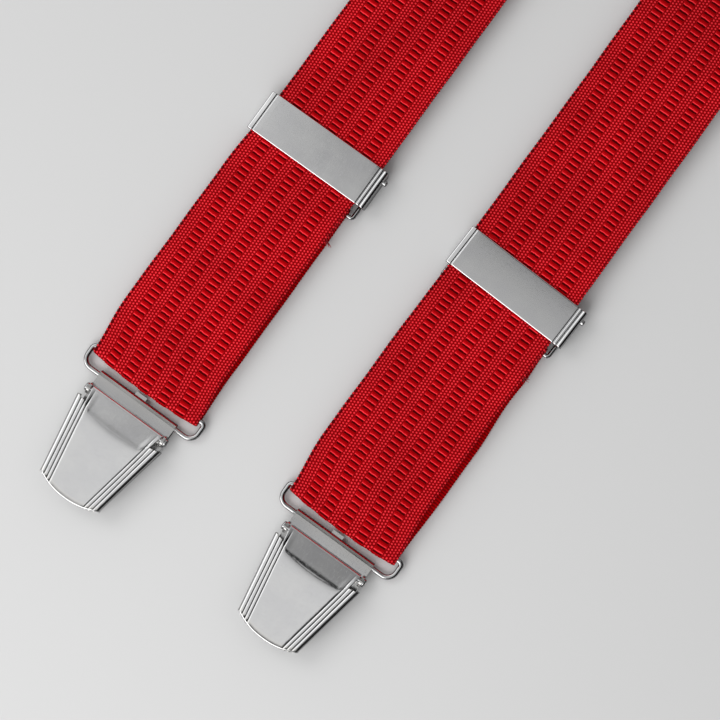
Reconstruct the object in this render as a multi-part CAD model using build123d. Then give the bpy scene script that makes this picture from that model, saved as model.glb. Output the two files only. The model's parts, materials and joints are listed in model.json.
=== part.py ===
from build123d import *
import math
import os

# A pair of X-back suspenders lying on a table, folded flat at the shoulders.
# X runs across the two front straps, +Y runs up the front straps from the clips to the shoulders, Z is up.
# The origin is on the table, under the centre of the back patch where the straps cross.
# Parts are drawn with y = 0 at the left front strap's lower fold, then moved to the origin when written.
# All sizes are in millimetres.

# ---- Webbing -------------------------------------------------------------------------------------
WEB_WIDTH = 35.0
WEB_THICK = 1.3
STRAP_SPACING = 65.4
FRONT_RUN_Z = 4.85
SHOULDER_Y = 580.0
REAR_RUN = 460.0
REAR_ANGLE = 22.0
FOLD_STEP = 1.1
FRONT_SPLIT_Y = 100.0
LAYER_GAP = 0.05
RUN_RISE_START = 5.0
RUN_RISE_END = 13.0

# ---- Clip wire loop ------------------------------------------------------------------------------
LOOP_WIRE_R = 0.7
LOOP_BAR_Y = -3.8
LOOP_HALF_WIDTH = 18.68
LOOP_UPPER_BEND = 1.1
LOOP_LOWER_BEND = 2.8
LOOP_CLEAR = 0.05

# ---- Clip sheet-metal parts ----------------------------------------------------------------------
SHEET = 0.7
BASE_HALF_WIDTH = 12.75
BASE_TIP_HALF_WIDTH = 9.2
BASE_TIP_Y = -33.4
PIN_Y = -8.2
PIN_Z = 4.05
PIN_R = 0.6
PIN_CLEAR = 0.06
PIN_HEAD_R = 1.2
PIN_HEAD_LENGTH = 0.85
EAR_R = 1.7
JAW_HINGE_Y = -6.05
JAW_HINGE_Z = 1.0
JAW_Z = 1.4
JAW_TIP_Y = -32.6
JAW_HALF_WIDTH = 10.5
JAW_TIP_HALF_WIDTH = 8.6
JAW_TOOTH_GAP = 0.08
HOOK_HALF_WIDTH = 1.75
HOOK_R = 0.55
SLOT_CLEAR = 0.15
BRIDGE_END_Y = -6.7
CURL_TAB_LENGTH = 0.9
LIP_HEIGHT = 1.9
TOOTH_PITCH = 2.3
TOOTH_SHARE = 0.84
TOOTH_DEPTH = 0.8

# ---- Clip lever cover ----------------------------------------------------------------------------
LEVER_TOP_Z = 7.2
LEVER_BEND_Y = -13.6
LEVER_SHOULDER_Y = -11.0
LEVER_SHOULDER_HALF = 13.9
LEVER_CORNER_Y = -33.4
LEVER_CORNER_HALF = 9.9
LEVER_TIP_Y = -36.0
LEVER_TONGUE_HALF = 11.5
FLANGE_SHOULDER_Z = 3.4
FLANGE_TIP_Z = 5.4
LEVER_BEND_R = 2.2
LEVER_CURL_TURN = 250.0
LEVER_EDGE_R = 0.5
CAM_R = 0.45
CAM_REACH = 0.3
CAM_HALF_LENGTH = 4.0
GROOVE_INSETS = (1.65, 3.05, 4.5)
GROOVE_R = 0.35
GROOVE_DEPTH = 0.2
LONG = 60.0

# ---- Strap adjuster ------------------------------------------------------------------------------
ADJ_FROM_FOLD = 74.3
ADJ_HEIGHT = 12.0
ADJ_HALF_WIDTH = 19.5
ADJ_SHEET = 0.7
ADJ_EAR_BOTTOM_Z = 0.9
ADJ_PIN_FROM_TOP = 2.5
ADJ_PIN_Z = 2.75
ADJ_GROOVE_INSETS = {-1: 1.6, 1: 2.5}
ADJ_CORNER_R = 0.9
ADJ_EAR_CORNER_R = 1.2
ADJ_LEVER_OUTER_R = 1.3
ADJ_LEVER_END_Y = 2.2
ADJ_TAB_END_Y = 0.6
ADJ_TAB_HALF_WIDTH = 10.0
ADJ_TOOTH_FROM_PIN = 2.6
ADJ_TOOTH_HALF_BASE = 0.7
ADJ_TOOTH_DEPTH = 1.4
ADJ_HEAD_R = 0.8
ADJ_HEAD_LENGTH = 0.9
ADJ_BAR_R = 0.6
ADJ_BAR_Y = -3.5
ADJ_BAR_HALF_WIDTH = 18.15
ADJ_BAR_HOOK_Y = 1.6
ADJ_BAR_BEND = 0.78
SEWN_END_Y = -13.3
SEWN_ROWS = (1.5, 3.3)

# ---- Back patch ----------------------------------------------------------------------------------
PATCH_THICK = 1.2
PATCH_HALF_WIDTH = 31.0
PATCH_HALF_HEIGHT = 37.0
PATCH_END_SHARE = 0.62
PATCH_SIDE_SHARE = 0.45
PATCH_CORNER_R = 5.0
PATCH_SEAM_INSET = 2.5
STITCH_R = 0.25
STITCH_LENGTH = 2.6
STITCH_PITCH = 3.6
STITCHES_PER_ROW = 9
THREAD_LIFT = 0.02

# ---- Rear run, measured back from the shoulder crease or the rear clip ---------------------------
REAR_FLAT_START = 16.0
PATCH_HALF_REACH = 46.0
PATCH_RAMP = 28.0
REAR_RAMP = 26.0
REAR_LEVEL_END = 8.0
REAR_TAIL = 24.0
REAR_BEND_R = 5.0
TAIL_BEND_R = 1.5
REAR_SEWN_ROWS = (17.0, 20.5)

# ---- Placement of the two sides ------------------------------------------------------------------
FRONT_FOLD_Y = {"left": 0.0, "right": 1.1}
ADJ_SKEW = {"left": 0.0, "right": 2.0}
SIDE_SIGN = {"left": -1, "right": 1}

# ---- Derived values ------------------------------------------------------------------------------
HALF_WIDTH = WEB_WIDTH / 2
FOLD_INNER_R = LOOP_WIRE_R + LOOP_CLEAR
FOLD_OUTER_R = FOLD_INNER_R + WEB_THICK
FOLD_MID_R = FOLD_INNER_R + WEB_THICK / 2
TUBE_BORE_R = LOOP_WIRE_R + PIN_CLEAR
TUBE_OUTER_R = TUBE_BORE_R + SHEET
FLAT_MID_Z = WEB_THICK / 2
ADJ_PLATE_Z = FRONT_RUN_Z + WEB_THICK / 2 + 0.1
ADJ_FOLD_MID_R = ADJ_BAR_R + LOOP_CLEAR + WEB_THICK / 2
PATCH_CENTRE_Y = SHOULDER_Y - STRAP_SPACING / 2 / math.tan(math.radians(REAR_ANGLE))
CROSS_S = STRAP_SPACING / 2 / math.sin(math.radians(REAR_ANGLE))


def box_between(low, high):
    """A box given by its lowest and highest corners."""
    size = [b - a for a, b in zip(low, high)]
    centre = [(a + b) / 2 for a, b in zip(low, high)]
    return Pos(*centre) * Box(*size)


def x_rod(radius, half_length, y, z):
    """A round rod along X, centred on x = 0."""
    return Pos(0, y, z) * Rot(0, 90, 0) * Cylinder(radius, 2 * half_length)


def extrude_x(face_points, half_length):
    """A (y, z) polygon drawn out along X, the same distance both ways."""
    face = Plane.YZ * make_face(Polyline(*face_points, close=True))
    return extrude(face, half_length, both=True)


def band(path, width, thickness):
    """A flat band of even thickness that follows a path in the YZ plane."""
    section = Plane(origin=path @ 0, x_dir=(1, 0, 0), z_dir=path % 0) * Rectangle(width, thickness)
    return sweep(section, path=path)


def side_path(lines):
    """One wire in the YZ plane from lines drawn as (y, z)."""
    return Wire((Plane.YZ * lines).edges())


def wire_along(path, radius):
    """Round wire that follows a path."""
    section = Plane(origin=path @ 0, z_dir=path % 0) * Circle(radius)
    return sweep(section, path=path)


# ---- Clip ----------------------------------------------------------------------------------------
# One clip is drawn lying face up: y = 0 is the webbing's fold, the jaws point to -y, z = 0 is its back.


def clip_loop():
    """Wire loop: its upper bar lies in the webbing's fold, its lower bar in the base plate's curl."""
    upper = Vector(0, FOLD_OUTER_R, FOLD_OUTER_R)
    lower = Vector(0, LOOP_BAR_Y, TUBE_OUTER_R)
    span = (upper - lower).length
    outline = make_face(
        Polyline(
            (-LOOP_HALF_WIDTH, 0),
            (LOOP_HALF_WIDTH, 0),
            (LOOP_HALF_WIDTH, span),
            (-LOOP_HALF_WIDTH, span),
            close=True,
        )
    )
    outline = fillet(outline.vertices().group_by(Axis.Y)[-1], LOOP_UPPER_BEND)
    outline = fillet(outline.vertices().sort_by(Axis.Y)[:2], LOOP_LOWER_BEND)
    tilted = Plane(origin=lower, x_dir=(1, 0, 0), z_dir=Vector(1, 0, 0).cross(upper - lower))
    path = (tilted * outline).wires()[0]
    return wire_along(path, LOOP_WIRE_R)


def row_of_teeth(half_width, y_low, y_high, z_tip, z_root):
    """Triangular notches, as a solid to cut from a jaw's edge."""
    notches = []
    count = int(half_width / TOOTH_PITCH)
    for step in range(-count, count + 1):
        x = step * TOOTH_PITCH
        half = TOOTH_PITCH * TOOTH_SHARE / 2
        corners = [(x - half, z_tip), (x + half, z_tip), (x, z_root)]
        face = Plane.XZ * make_face(Polyline(*corners, close=True))
        notches.append(Pos(0, y_high, 0) * extrude(face, y_high - y_low))
    return notches


def clip_base():
    """Base plate: curl round the loop, bridge, two ears for the pin, slot for the jaw's hook, toothed lip."""
    outline = Polyline(
        (-BASE_HALF_WIDTH, LOOP_BAR_Y),
        (BASE_HALF_WIDTH, LOOP_BAR_Y),
        (BASE_HALF_WIDTH, PIN_Y - 2 * EAR_R),
        (BASE_TIP_HALF_WIDTH, BASE_TIP_Y),
        (-BASE_TIP_HALF_WIDTH, BASE_TIP_Y),
        (-BASE_HALF_WIDTH, PIN_Y - 2 * EAR_R),
        close=True,
    )
    plate = extrude(make_face(outline), SHEET)
    plate += x_rod(TUBE_OUTER_R, BASE_HALF_WIDTH, LOOP_BAR_Y, TUBE_OUTER_R)
    curl_top = 2 * TUBE_OUTER_R
    bridge_low = (-BASE_HALF_WIDTH, BRIDGE_END_Y, curl_top - SHEET)
    plate += box_between(bridge_low, (BASE_HALF_WIDTH, LOOP_BAR_Y, curl_top))
    for side in (-1, 1):
        inner, outer = sorted((side * (BASE_HALF_WIDTH - SHEET), side * BASE_HALF_WIDTH))
        plate += box_between((inner, PIN_Y - EAR_R, 0), (outer, PIN_Y + EAR_R, PIN_Z))
        middle = (inner + outer) / 2
        plate += Pos(middle, PIN_Y, PIN_Z) * Rot(0, 90, 0) * Cylinder(EAR_R, SHEET)
    lip_y = BASE_TIP_Y - SHEET
    plate += box_between((-BASE_TIP_HALF_WIDTH, lip_y, 0), (BASE_TIP_HALF_WIDTH, BASE_TIP_Y, LIP_HEIGHT))
    curl_tab_y = LOOP_BAR_Y + TUBE_OUTER_R
    plate += box_between(
        (-HOOK_HALF_WIDTH, curl_tab_y - SHEET, TUBE_OUTER_R - SHEET / 2),
        (HOOK_HALF_WIDTH, curl_tab_y + CURL_TAB_LENGTH, TUBE_OUTER_R + SHEET / 2),
    )
    plate -= x_rod(TUBE_BORE_R, BASE_HALF_WIDTH + 1, LOOP_BAR_Y, TUBE_OUTER_R)
    plate -= x_rod(PIN_R + 0.03, BASE_HALF_WIDTH + 1, PIN_Y, PIN_Z)
    slot_half = HOOK_HALF_WIDTH + SLOT_CLEAR
    slot_reach = HOOK_R + SLOT_CLEAR
    slot_low = (-slot_half, JAW_HINGE_Y - slot_reach, -SHEET)
    plate -= box_between(slot_low, (slot_half, JAW_HINGE_Y + slot_reach, SHEET + SLOT_CLEAR))
    tip_z = LIP_HEIGHT + THREAD_LIFT
    root_z = LIP_HEIGHT - TOOTH_DEPTH
    for notch in row_of_teeth(BASE_TIP_HALF_WIDTH - 1, lip_y - 1, BASE_TIP_Y + 1, tip_z, root_z):
        plate -= notch
    return plate


def clip_jaw():
    """Front jaw plate: it hooks into the base plate's slot and ends in teeth that meet the base."""
    neck_y = JAW_HINGE_Y - 2 * HOOK_R
    outline = Polyline(
        (-HOOK_HALF_WIDTH, JAW_HINGE_Y),
        (HOOK_HALF_WIDTH, JAW_HINGE_Y),
        (HOOK_HALF_WIDTH, neck_y),
        (JAW_HALF_WIDTH, neck_y - HOOK_HALF_WIDTH),
        (JAW_HALF_WIDTH, PIN_Y - 3 * EAR_R),
        (JAW_TIP_HALF_WIDTH, JAW_TIP_Y),
        (-JAW_TIP_HALF_WIDTH, JAW_TIP_Y),
        (-JAW_HALF_WIDTH, PIN_Y - 3 * EAR_R),
        (-JAW_HALF_WIDTH, neck_y - HOOK_HALF_WIDTH),
        (-HOOK_HALF_WIDTH, neck_y),
        close=True,
    )
    plate = Pos(0, 0, JAW_Z) * extrude(make_face(outline), SHEET)
    plate += x_rod(HOOK_R, HOOK_HALF_WIDTH, JAW_HINGE_Y, JAW_HINGE_Z)
    neck_low = (-HOOK_HALF_WIDTH, JAW_HINGE_Y - HOOK_R, JAW_HINGE_Z)
    plate += box_between(neck_low, (HOOK_HALF_WIDTH, JAW_HINGE_Y + HOOK_R, JAW_Z + SHEET))
    tooth_z = SHEET + JAW_TOOTH_GAP
    lip_low = (-JAW_TIP_HALF_WIDTH, JAW_TIP_Y, tooth_z)
    plate += box_between(lip_low, (JAW_TIP_HALF_WIDTH, JAW_TIP_Y + SHEET, JAW_Z + SHEET))
    for notch in row_of_teeth(JAW_TIP_HALF_WIDTH - 1, JAW_TIP_Y - 1, JAW_TIP_Y + 1, SHEET, JAW_Z):
        plate -= notch
    return plate


def lever_outline(inset, top_y):
    """The lever cover seen from above: straight tapering sides and a convex lower edge."""
    slope = (LEVER_SHOULDER_HALF - LEVER_CORNER_HALF) / (LEVER_SHOULDER_Y - LEVER_CORNER_Y)
    side_inset = inset * math.hypot(1, slope)
    top_half = LEVER_SHOULDER_HALF + slope * (top_y - LEVER_SHOULDER_Y) - side_inset
    corner_y = LEVER_CORNER_Y + inset
    corner_half = LEVER_CORNER_HALF + slope * inset - side_inset
    outline = [
        Polyline((-corner_half, corner_y), (-top_half, top_y), (top_half, top_y), (corner_half, corner_y)),
        ThreePointArc((corner_half, corner_y), (0, LEVER_TIP_Y + inset), (-corner_half, corner_y)),
    ]
    return make_face(outline)


def clip_lever():
    """Lever cover: flanged face with stamped grooves, bent down to a curl that turns on the pin."""
    depth = LEVER_TOP_Z - FLANGE_SHOULDER_Z
    tray = Pos(0, 0, FLANGE_SHOULDER_Z) * extrude(lever_outline(0, LEVER_SHOULDER_Y), depth)
    tray = fillet(tray.faces().sort_by(Axis.Z)[-1].edges().group_by(Axis.Y)[0], LEVER_EDGE_R)
    hollow = extrude(lever_outline(SHEET, LEVER_SHOULDER_Y + 2), LEVER_TOP_Z - SHEET)
    tray -= hollow
    below_flange = [
        (LEVER_SHOULDER_Y + 1, 0),
        (LEVER_SHOULDER_Y + 1, FLANGE_SHOULDER_Z),
        (LEVER_TIP_Y - 1, FLANGE_TIP_Z),
        (LEVER_TIP_Y - 1, 0),
    ]
    tray -= extrude_x(below_flange, LEVER_SHOULDER_HALF + 1)
    notch_half = LEVER_TONGUE_HALF + SLOT_CLEAR
    tray -= box_between((-notch_half, LEVER_BEND_Y + SHEET, 0), (notch_half, 0, LEVER_TOP_Z + 1))

    mid_z = LEVER_TOP_Z - SHEET / 2
    curl_r = PIN_R + PIN_CLEAR + SHEET / 2
    bend = Vector(0, LEVER_BEND_Y, mid_z)
    pin = Vector(0, PIN_Y, PIN_Z)
    reach = (bend - pin).length
    leave = math.degrees(math.atan2(mid_z - PIN_Z, LEVER_BEND_Y - PIN_Y) - math.acos(curl_r / reach))
    tangent = (PIN_Y + curl_r * math.cos(math.radians(leave)), PIN_Z + curl_r * math.sin(math.radians(leave)))
    slope = FilletPolyline((LEVER_BEND_Y - 4, mid_z), (LEVER_BEND_Y, mid_z), tangent, radius=LEVER_BEND_R)
    curl = CenterArc((PIN_Y, PIN_Z), curl_r, leave, -LEVER_CURL_TURN)
    path = side_path(slope + curl)
    tongue = band(path, 2 * LEVER_TONGUE_HALF, SHEET)
    cam = x_rod(CAM_R, CAM_HALF_LENGTH, PIN_Y, PIN_Z - curl_r - CAM_REACH)
    lever = tray + tongue + cam
    lever -= x_rod(PIN_R + PIN_CLEAR, LEVER_TONGUE_HALF + 1, PIN_Y, PIN_Z)

    run = math.hypot(LEVER_SHOULDER_HALF - LEVER_CORNER_HALF, LEVER_SHOULDER_Y - LEVER_CORNER_Y)
    lean = math.degrees(math.asin((LEVER_SHOULDER_HALF - LEVER_CORNER_HALF) / run))
    for side in (-1, 1):
        for inset in GROOVE_INSETS:
            x = side * (LEVER_CORNER_HALF - inset)
            rod = Rot(90, 0, 0) * Cylinder(GROOVE_R, LONG)
            groove_z = LEVER_TOP_Z + GROOVE_R - GROOVE_DEPTH
            lever -= Pos(x, LEVER_CORNER_Y, groove_z) * Rot(0, 0, -side * lean) * rod
    return lever


def clip_pin():
    """Riveted pin through the base's ears and the lever's curl."""
    pin = x_rod(PIN_R, BASE_HALF_WIDTH + 0.1, PIN_Y, PIN_Z)
    for side in (-1, 1):
        x = side * (BASE_HALF_WIDTH + 0.05 + PIN_HEAD_LENGTH / 2)
        head = Pos(x, PIN_Y, PIN_Z) * Rot(0, 90, 0) * Cylinder(PIN_HEAD_R, PIN_HEAD_LENGTH)
        rims = head.edges().filter_by(GeomType.CIRCLE).sort_by(Axis.X)
        pin += fillet(rims[-1] if side > 0 else rims[0], PIN_HEAD_LENGTH / 2)
    return pin


CLIP_PARTS = {
    "clip_loop": clip_loop,
    "clip_base": clip_base,
    "clip_jaw": clip_jaw,
    "clip_lever": clip_lever,
    "clip_pin": clip_pin,
}


# ---- Adjuster ------------------------------------------------------------------------------------
# One adjuster is drawn with the cover plate's lower edge at y = 0 and the table at z = 0.


def adjuster_cover():
    """Cover plate over the webbing, with both ends folded down into ears."""
    top_z = ADJ_PLATE_Z + ADJ_SHEET
    plate = box_between((-ADJ_HALF_WIDTH, 0, ADJ_EAR_BOTTOM_Z), (ADJ_HALF_WIDTH, ADJ_HEIGHT, top_z))
    plate = fillet(plate.edges().filter_by(Axis.Y).group_by(Axis.Z)[-1], ADJ_CORNER_R)
    inner = ADJ_HALF_WIDTH - ADJ_SHEET
    plate -= box_between((-inner, -1, 0), (inner, ADJ_HEIGHT + 1, ADJ_PLATE_Z))
    plate = fillet(plate.edges().filter_by(Axis.X).group_by(Axis.Z)[0], ADJ_EAR_CORNER_R)
    pin_y = ADJ_HEIGHT - ADJ_PIN_FROM_TOP
    plate -= x_rod(PIN_R + 0.03, ADJ_HALF_WIDTH + 1, pin_y, ADJ_PIN_Z)
    bar_z = ADJ_FOLD_MID_R + WEB_THICK / 2
    plate -= x_rod(ADJ_BAR_R + LOOP_CLEAR, ADJ_HALF_WIDTH + 1, ADJ_BAR_HOOK_Y, bar_z)
    for side in (-1, 1):
        x = side * (ADJ_HALF_WIDTH - ADJ_GROOVE_INSETS[side])
        groove = Rot(90, 0, 0) * Cylinder(GROOVE_R, LONG)
        plate -= Pos(x, 0, top_z + GROOVE_R - GROOVE_DEPTH) * groove
    return plate


def adjuster_lever():
    """Locking lever under the webbing: its teeth press the webbing up against the cover plate."""
    pin_y = ADJ_HEIGHT - ADJ_PIN_FROM_TOP
    half = ADJ_HALF_WIDTH - ADJ_SHEET - SLOT_CLEAR
    web_under = FRONT_RUN_Z - WEB_THICK / 2
    blade_z = ADJ_PIN_Z - ADJ_LEVER_OUTER_R
    lever = x_rod(ADJ_LEVER_OUTER_R, half, pin_y, ADJ_PIN_Z)
    lever += box_between((-half, ADJ_LEVER_END_Y, blade_z), (half, pin_y, blade_z + SHEET))
    tab_low = (-ADJ_TAB_HALF_WIDTH, ADJ_TAB_END_Y, blade_z)
    lever += box_between(tab_low, (ADJ_TAB_HALF_WIDTH, ADJ_LEVER_END_Y + SHEET, blade_z + SHEET))
    tooth_y = pin_y - ADJ_TOOTH_FROM_PIN
    ridge = [
        (tooth_y - ADJ_TOOTH_HALF_BASE, blade_z),
        (tooth_y + ADJ_TOOTH_HALF_BASE, blade_z),
        (tooth_y, web_under - JAW_TOOTH_GAP),
    ]
    lever += extrude_x(ridge, HALF_WIDTH)
    root = web_under - ADJ_TOOTH_DEPTH
    for notch in row_of_teeth(HALF_WIDTH - 1, tooth_y - 1, tooth_y + 1, web_under, root):
        lever -= notch
    lever -= x_rod(PIN_R + PIN_CLEAR, half + 1, pin_y, ADJ_PIN_Z)
    return lever


def adjuster_pin():
    """Pin for the locking lever: flush at its left end, with a rounded head beyond the right ear."""
    pin_y = ADJ_HEIGHT - ADJ_PIN_FROM_TOP
    pin = x_rod(PIN_R, ADJ_HALF_WIDTH, pin_y, ADJ_PIN_Z)
    head_x = ADJ_HALF_WIDTH + LAYER_GAP + ADJ_HEAD_LENGTH / 2
    head = Pos(head_x, pin_y, ADJ_PIN_Z) * Rot(0, 90, 0) * Cylinder(ADJ_HEAD_R, ADJ_HEAD_LENGTH)
    neck = Pos(ADJ_HALF_WIDTH, pin_y, ADJ_PIN_Z) * Rot(0, 90, 0) * Cylinder(PIN_R, ADJ_HEAD_LENGTH)
    return pin + neck + fillet(head.edges().filter_by(GeomType.CIRCLE).sort_by(Axis.X)[-1], ADJ_HEAD_R / 2)


def adjuster_bar():
    """Bent wire that holds the webbing's sewn end; its two ends are turned out through the cover's ears."""
    bar_z = ADJ_FOLD_MID_R + WEB_THICK / 2
    end_x = ADJ_HALF_WIDTH
    path = FilletPolyline(
        (-end_x, ADJ_BAR_HOOK_Y, bar_z),
        (-ADJ_BAR_HALF_WIDTH, ADJ_BAR_HOOK_Y, bar_z),
        (-ADJ_BAR_HALF_WIDTH, ADJ_BAR_Y, bar_z),
        (ADJ_BAR_HALF_WIDTH, ADJ_BAR_Y, bar_z),
        (ADJ_BAR_HALF_WIDTH, ADJ_BAR_HOOK_Y, bar_z),
        (end_x, ADJ_BAR_HOOK_Y, bar_z),
        radius=ADJ_BAR_BEND,
    )
    return wire_along(path, ADJ_BAR_R)


ADJUSTER_PARTS = {
    "adjuster_cover": adjuster_cover,
    "adjuster_lever": adjuster_lever,
    "adjuster_pin": adjuster_pin,
    "adjuster_bar": adjuster_bar,
}


def place_adjuster(part, side):
    """Put an adjuster part on its strap, with the small skew it has there."""
    x = SIDE_SIGN[side] * STRAP_SPACING / 2
    y = FRONT_FOLD_Y[side] + ADJ_FROM_FOLD + ADJ_HEIGHT / 2
    return Pos(x, y, 0) * Rot(0, 0, -ADJ_SKEW[side]) * Pos(0, -ADJ_HEIGHT / 2, 0) * part


# ---- Webbing at the front ------------------------------------------------------------------------


def front_fold():
    """The webbing's half turn round the upper bar of a front clip's loop."""
    arc = CenterArc((FOLD_OUTER_R, FOLD_OUTER_R), FOLD_MID_R, 90, 180)
    return band(side_path(arc), WEB_WIDTH, WEB_THICK)


def front_run(side):
    """Outer layer from the clip's fold up to where the strap no longer shortens."""
    top = FRONT_SPLIT_Y - LAYER_GAP - FRONT_FOLD_Y[side]
    low_z = FOLD_OUTER_R + FOLD_MID_R
    path = FilletPolyline(
        (FOLD_OUTER_R + LAYER_GAP, low_z),
        (RUN_RISE_START, low_z),
        (RUN_RISE_END, FRONT_RUN_Z),
        (top, FRONT_RUN_Z),
        radius=REAR_BEND_R,
    )
    return band(side_path(path), WEB_WIDTH, WEB_THICK)


def return_run(side):
    """Inner layer from the clip's fold back up to the adjuster's bar, round it, and down to its sewn end."""
    bar_y = ADJ_FROM_FOLD + ADJ_BAR_Y
    bar_z = ADJ_FOLD_MID_R + WEB_THICK / 2
    sewn_y = ADJ_FROM_FOLD + SEWN_END_Y
    sewn_z = FLAT_MID_Z + WEB_THICK + LAYER_GAP
    lower = Line((sewn_y, FLAT_MID_Z), (bar_y, FLAT_MID_Z))
    turn = CenterArc((bar_y, bar_z), ADJ_FOLD_MID_R, -90, 180)
    top_z = bar_z + ADJ_FOLD_MID_R
    end = FilletPolyline(
        (bar_y, top_z),
        (bar_y - WEB_THICK, top_z),
        (bar_y - 4 * WEB_THICK, sewn_z),
        (sewn_y, sewn_z),
        radius=TAIL_BEND_R,
    )
    wrap = band(side_path(lower + turn + end), WEB_WIDTH, WEB_THICK)
    pivot_y = ADJ_FROM_FOLD + ADJ_HEIGHT / 2
    wrap = Pos(0, pivot_y, 0) * Rot(0, 0, -ADJ_SKEW[side]) * Pos(0, -pivot_y, 0) * wrap
    flat_end = (HALF_WIDTH, bar_y - 2 * WEB_THICK, WEB_THICK)
    flat = box_between((-HALF_WIDTH, FOLD_OUTER_R + LAYER_GAP, 0), flat_end)
    return flat + wrap


def stitch_row(count, pitch, z):
    """A row of thread stitches along X, each lying on the surface at height z."""
    stitches = []
    for step in range(count):
        x = (step - (count - 1) / 2) * pitch
        stitches.append(Pos(x, 0, z + STITCH_R / 2) * Box(STITCH_LENGTH, 2 * STITCH_R, STITCH_R))
    return stitches


def return_stitching(side):
    """Two rows of stitches that close the sewn end round the adjuster's bar."""
    pivot_y = ADJ_FROM_FOLD + ADJ_HEIGHT / 2
    top_z = 2 * WEB_THICK + LAYER_GAP + THREAD_LIFT
    stitches = []
    for from_end in SEWN_ROWS:
        row = stitch_row(STITCHES_PER_ROW, STITCH_PITCH, top_z)
        stitches += [Pos(0, ADJ_FROM_FOLD + SEWN_END_Y + from_end, 0) * stitch for stitch in row]
    skew = Pos(0, pivot_y, 0) * Rot(0, 0, -ADJ_SKEW[side]) * Pos(0, -pivot_y, 0)
    return Compound([skew * stitch for stitch in stitches])


# ---- Shoulder fold, rear run and rear ends -------------------------------------------------------
# The rear run is drawn in its own frame: y = 0 at the shoulder crease, +y towards the rear clip.

CLIP_HEIGHT = LEVER_TOP_Z
REAR_FOLD_Z = CLIP_HEIGHT - FOLD_OUTER_R
REAR_LEVEL = {"right": PATCH_THICK + LAYER_GAP, "left": PATCH_THICK + WEB_THICK + 2 * LAYER_GAP}


def ramp_height(y):
    """Mid-plane height of the rear run where it climbs to the rear clip's loop."""
    rise = REAR_FOLD_Z - FOLD_MID_R - FLAT_MID_Z
    return FLAT_MID_Z + rise * (y - REAR_RUN + REAR_LEVEL_END + REAR_RAMP) / REAR_RAMP


def rear_path(side):
    """Height of the rear run's mid-plane: flat, raised over the patch, then up to the rear clip's loop."""
    raised = REAR_LEVEL[side] + WEB_THICK / 2
    turn_z = REAR_FOLD_Z - FOLD_MID_R
    centre = REAR_RUN - FOLD_OUTER_R
    slope = FilletPolyline(
        (-REAR_BEND_R, FLAT_MID_Z),
        (REAR_FLAT_START, FLAT_MID_Z),
        (CROSS_S - PATCH_HALF_REACH, raised),
        (CROSS_S + PATCH_HALF_REACH, raised),
        (CROSS_S + PATCH_HALF_REACH + PATCH_RAMP, FLAT_MID_Z),
        (REAR_RUN - REAR_LEVEL_END - REAR_RAMP, FLAT_MID_Z),
        (REAR_RUN - REAR_LEVEL_END, turn_z),
        (centre, turn_z),
        radius=REAR_BEND_R,
    )
    turn = CenterArc((centre, REAR_FOLD_Z), FOLD_MID_R, -90, 180)
    upper = REAR_FOLD_Z + FOLD_MID_R
    tail_start = REAR_RUN - (REAR_LEVEL_END + REAR_TAIL) / 2 + FOLD_OUTER_R
    tail_end = REAR_RUN - REAR_TAIL
    tail = FilletPolyline(
        (centre, upper),
        (centre - FOLD_OUTER_R, upper),
        (tail_start, ramp_height(tail_start) + WEB_THICK + LAYER_GAP),
        (tail_end, ramp_height(tail_end) + WEB_THICK + LAYER_GAP),
        radius=TAIL_BEND_R,
    )
    return slope + turn + tail


def crease_frame(side):
    """Where the crease lies: its height, its direction and the point the front run's centre line reaches."""
    sign = SIDE_SIGN[side]
    half = math.radians(REAR_ANGLE / 2)
    along = Vector(math.cos(half), -sign * math.sin(half), 0)
    point = Vector(sign * STRAP_SPACING / 2, SHOULDER_Y, 0)
    return point, along


def rear_location(side):
    """Location of the rear run's own frame: it leaves the crease towards the other side of the body."""
    sign = SIDE_SIGN[side]
    mid_r = (FRONT_RUN_Z - FLAT_MID_Z) / 2
    point, along = crease_frame(side)
    shift = math.pi * mid_r * math.tan(math.radians(REAR_ANGLE / 2))
    start = point - along * (sign * shift)
    return Pos(start.X, start.Y, 0) * Rot(0, 0, 180 - sign * REAR_ANGLE)


def shoulder_strap(side):
    """Main webbing: front run, angled fold at the shoulder, rear run, and the turn round the rear loop."""
    sign = SIDE_SIGN[side]
    point, along = crease_frame(side)
    front = box_between(
        (point.X - HALF_WIDTH, FRONT_SPLIT_Y, FRONT_RUN_Z - WEB_THICK / 2),
        (point.X + HALF_WIDTH, SHOULDER_Y + HALF_WIDTH, FRONT_RUN_Z + WEB_THICK / 2),
    )
    rear = rear_location(side) * band(side_path(rear_path(side)), WEB_WIDTH, WEB_THICK)
    beyond = Plane(origin=point, x_dir=along, z_dir=(0, 0, 1))
    front -= beyond * Pos(0, LONG / 2, 0) * Box(4 * LONG, LONG, LONG)
    rear -= beyond * Pos(0, LONG / 2, 0) * Box(4 * LONG, LONG, LONG)
    centre_z = (FRONT_RUN_Z + FLAT_MID_Z) / 2
    mid_r = (FRONT_RUN_Z - FLAT_MID_Z) / 2
    half = math.radians(REAR_ANGLE / 2)
    fold_centre = point - along * (sign * math.pi * mid_r * math.tan(half) / 2)
    length = WEB_WIDTH / math.cos(half)
    tube = Cylinder(mid_r + WEB_THICK / 2, length) - Cylinder(mid_r - WEB_THICK / 2, length)
    fold = Plane(origin=(fold_centre.X, fold_centre.Y, centre_z), x_dir=(0, 0, 1), z_dir=along) * tube
    fold -= beyond * Pos(0, -LONG / 2, 0) * Box(4 * LONG, LONG, LONG)
    return front + fold + rear


def rear_clip_location(side):
    """A rear clip lies face down, because the folded straps turn their outer face to the table."""
    return rear_location(side) * Pos(0, REAR_RUN, CLIP_HEIGHT) * Rot(180, 0, 0)


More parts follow.
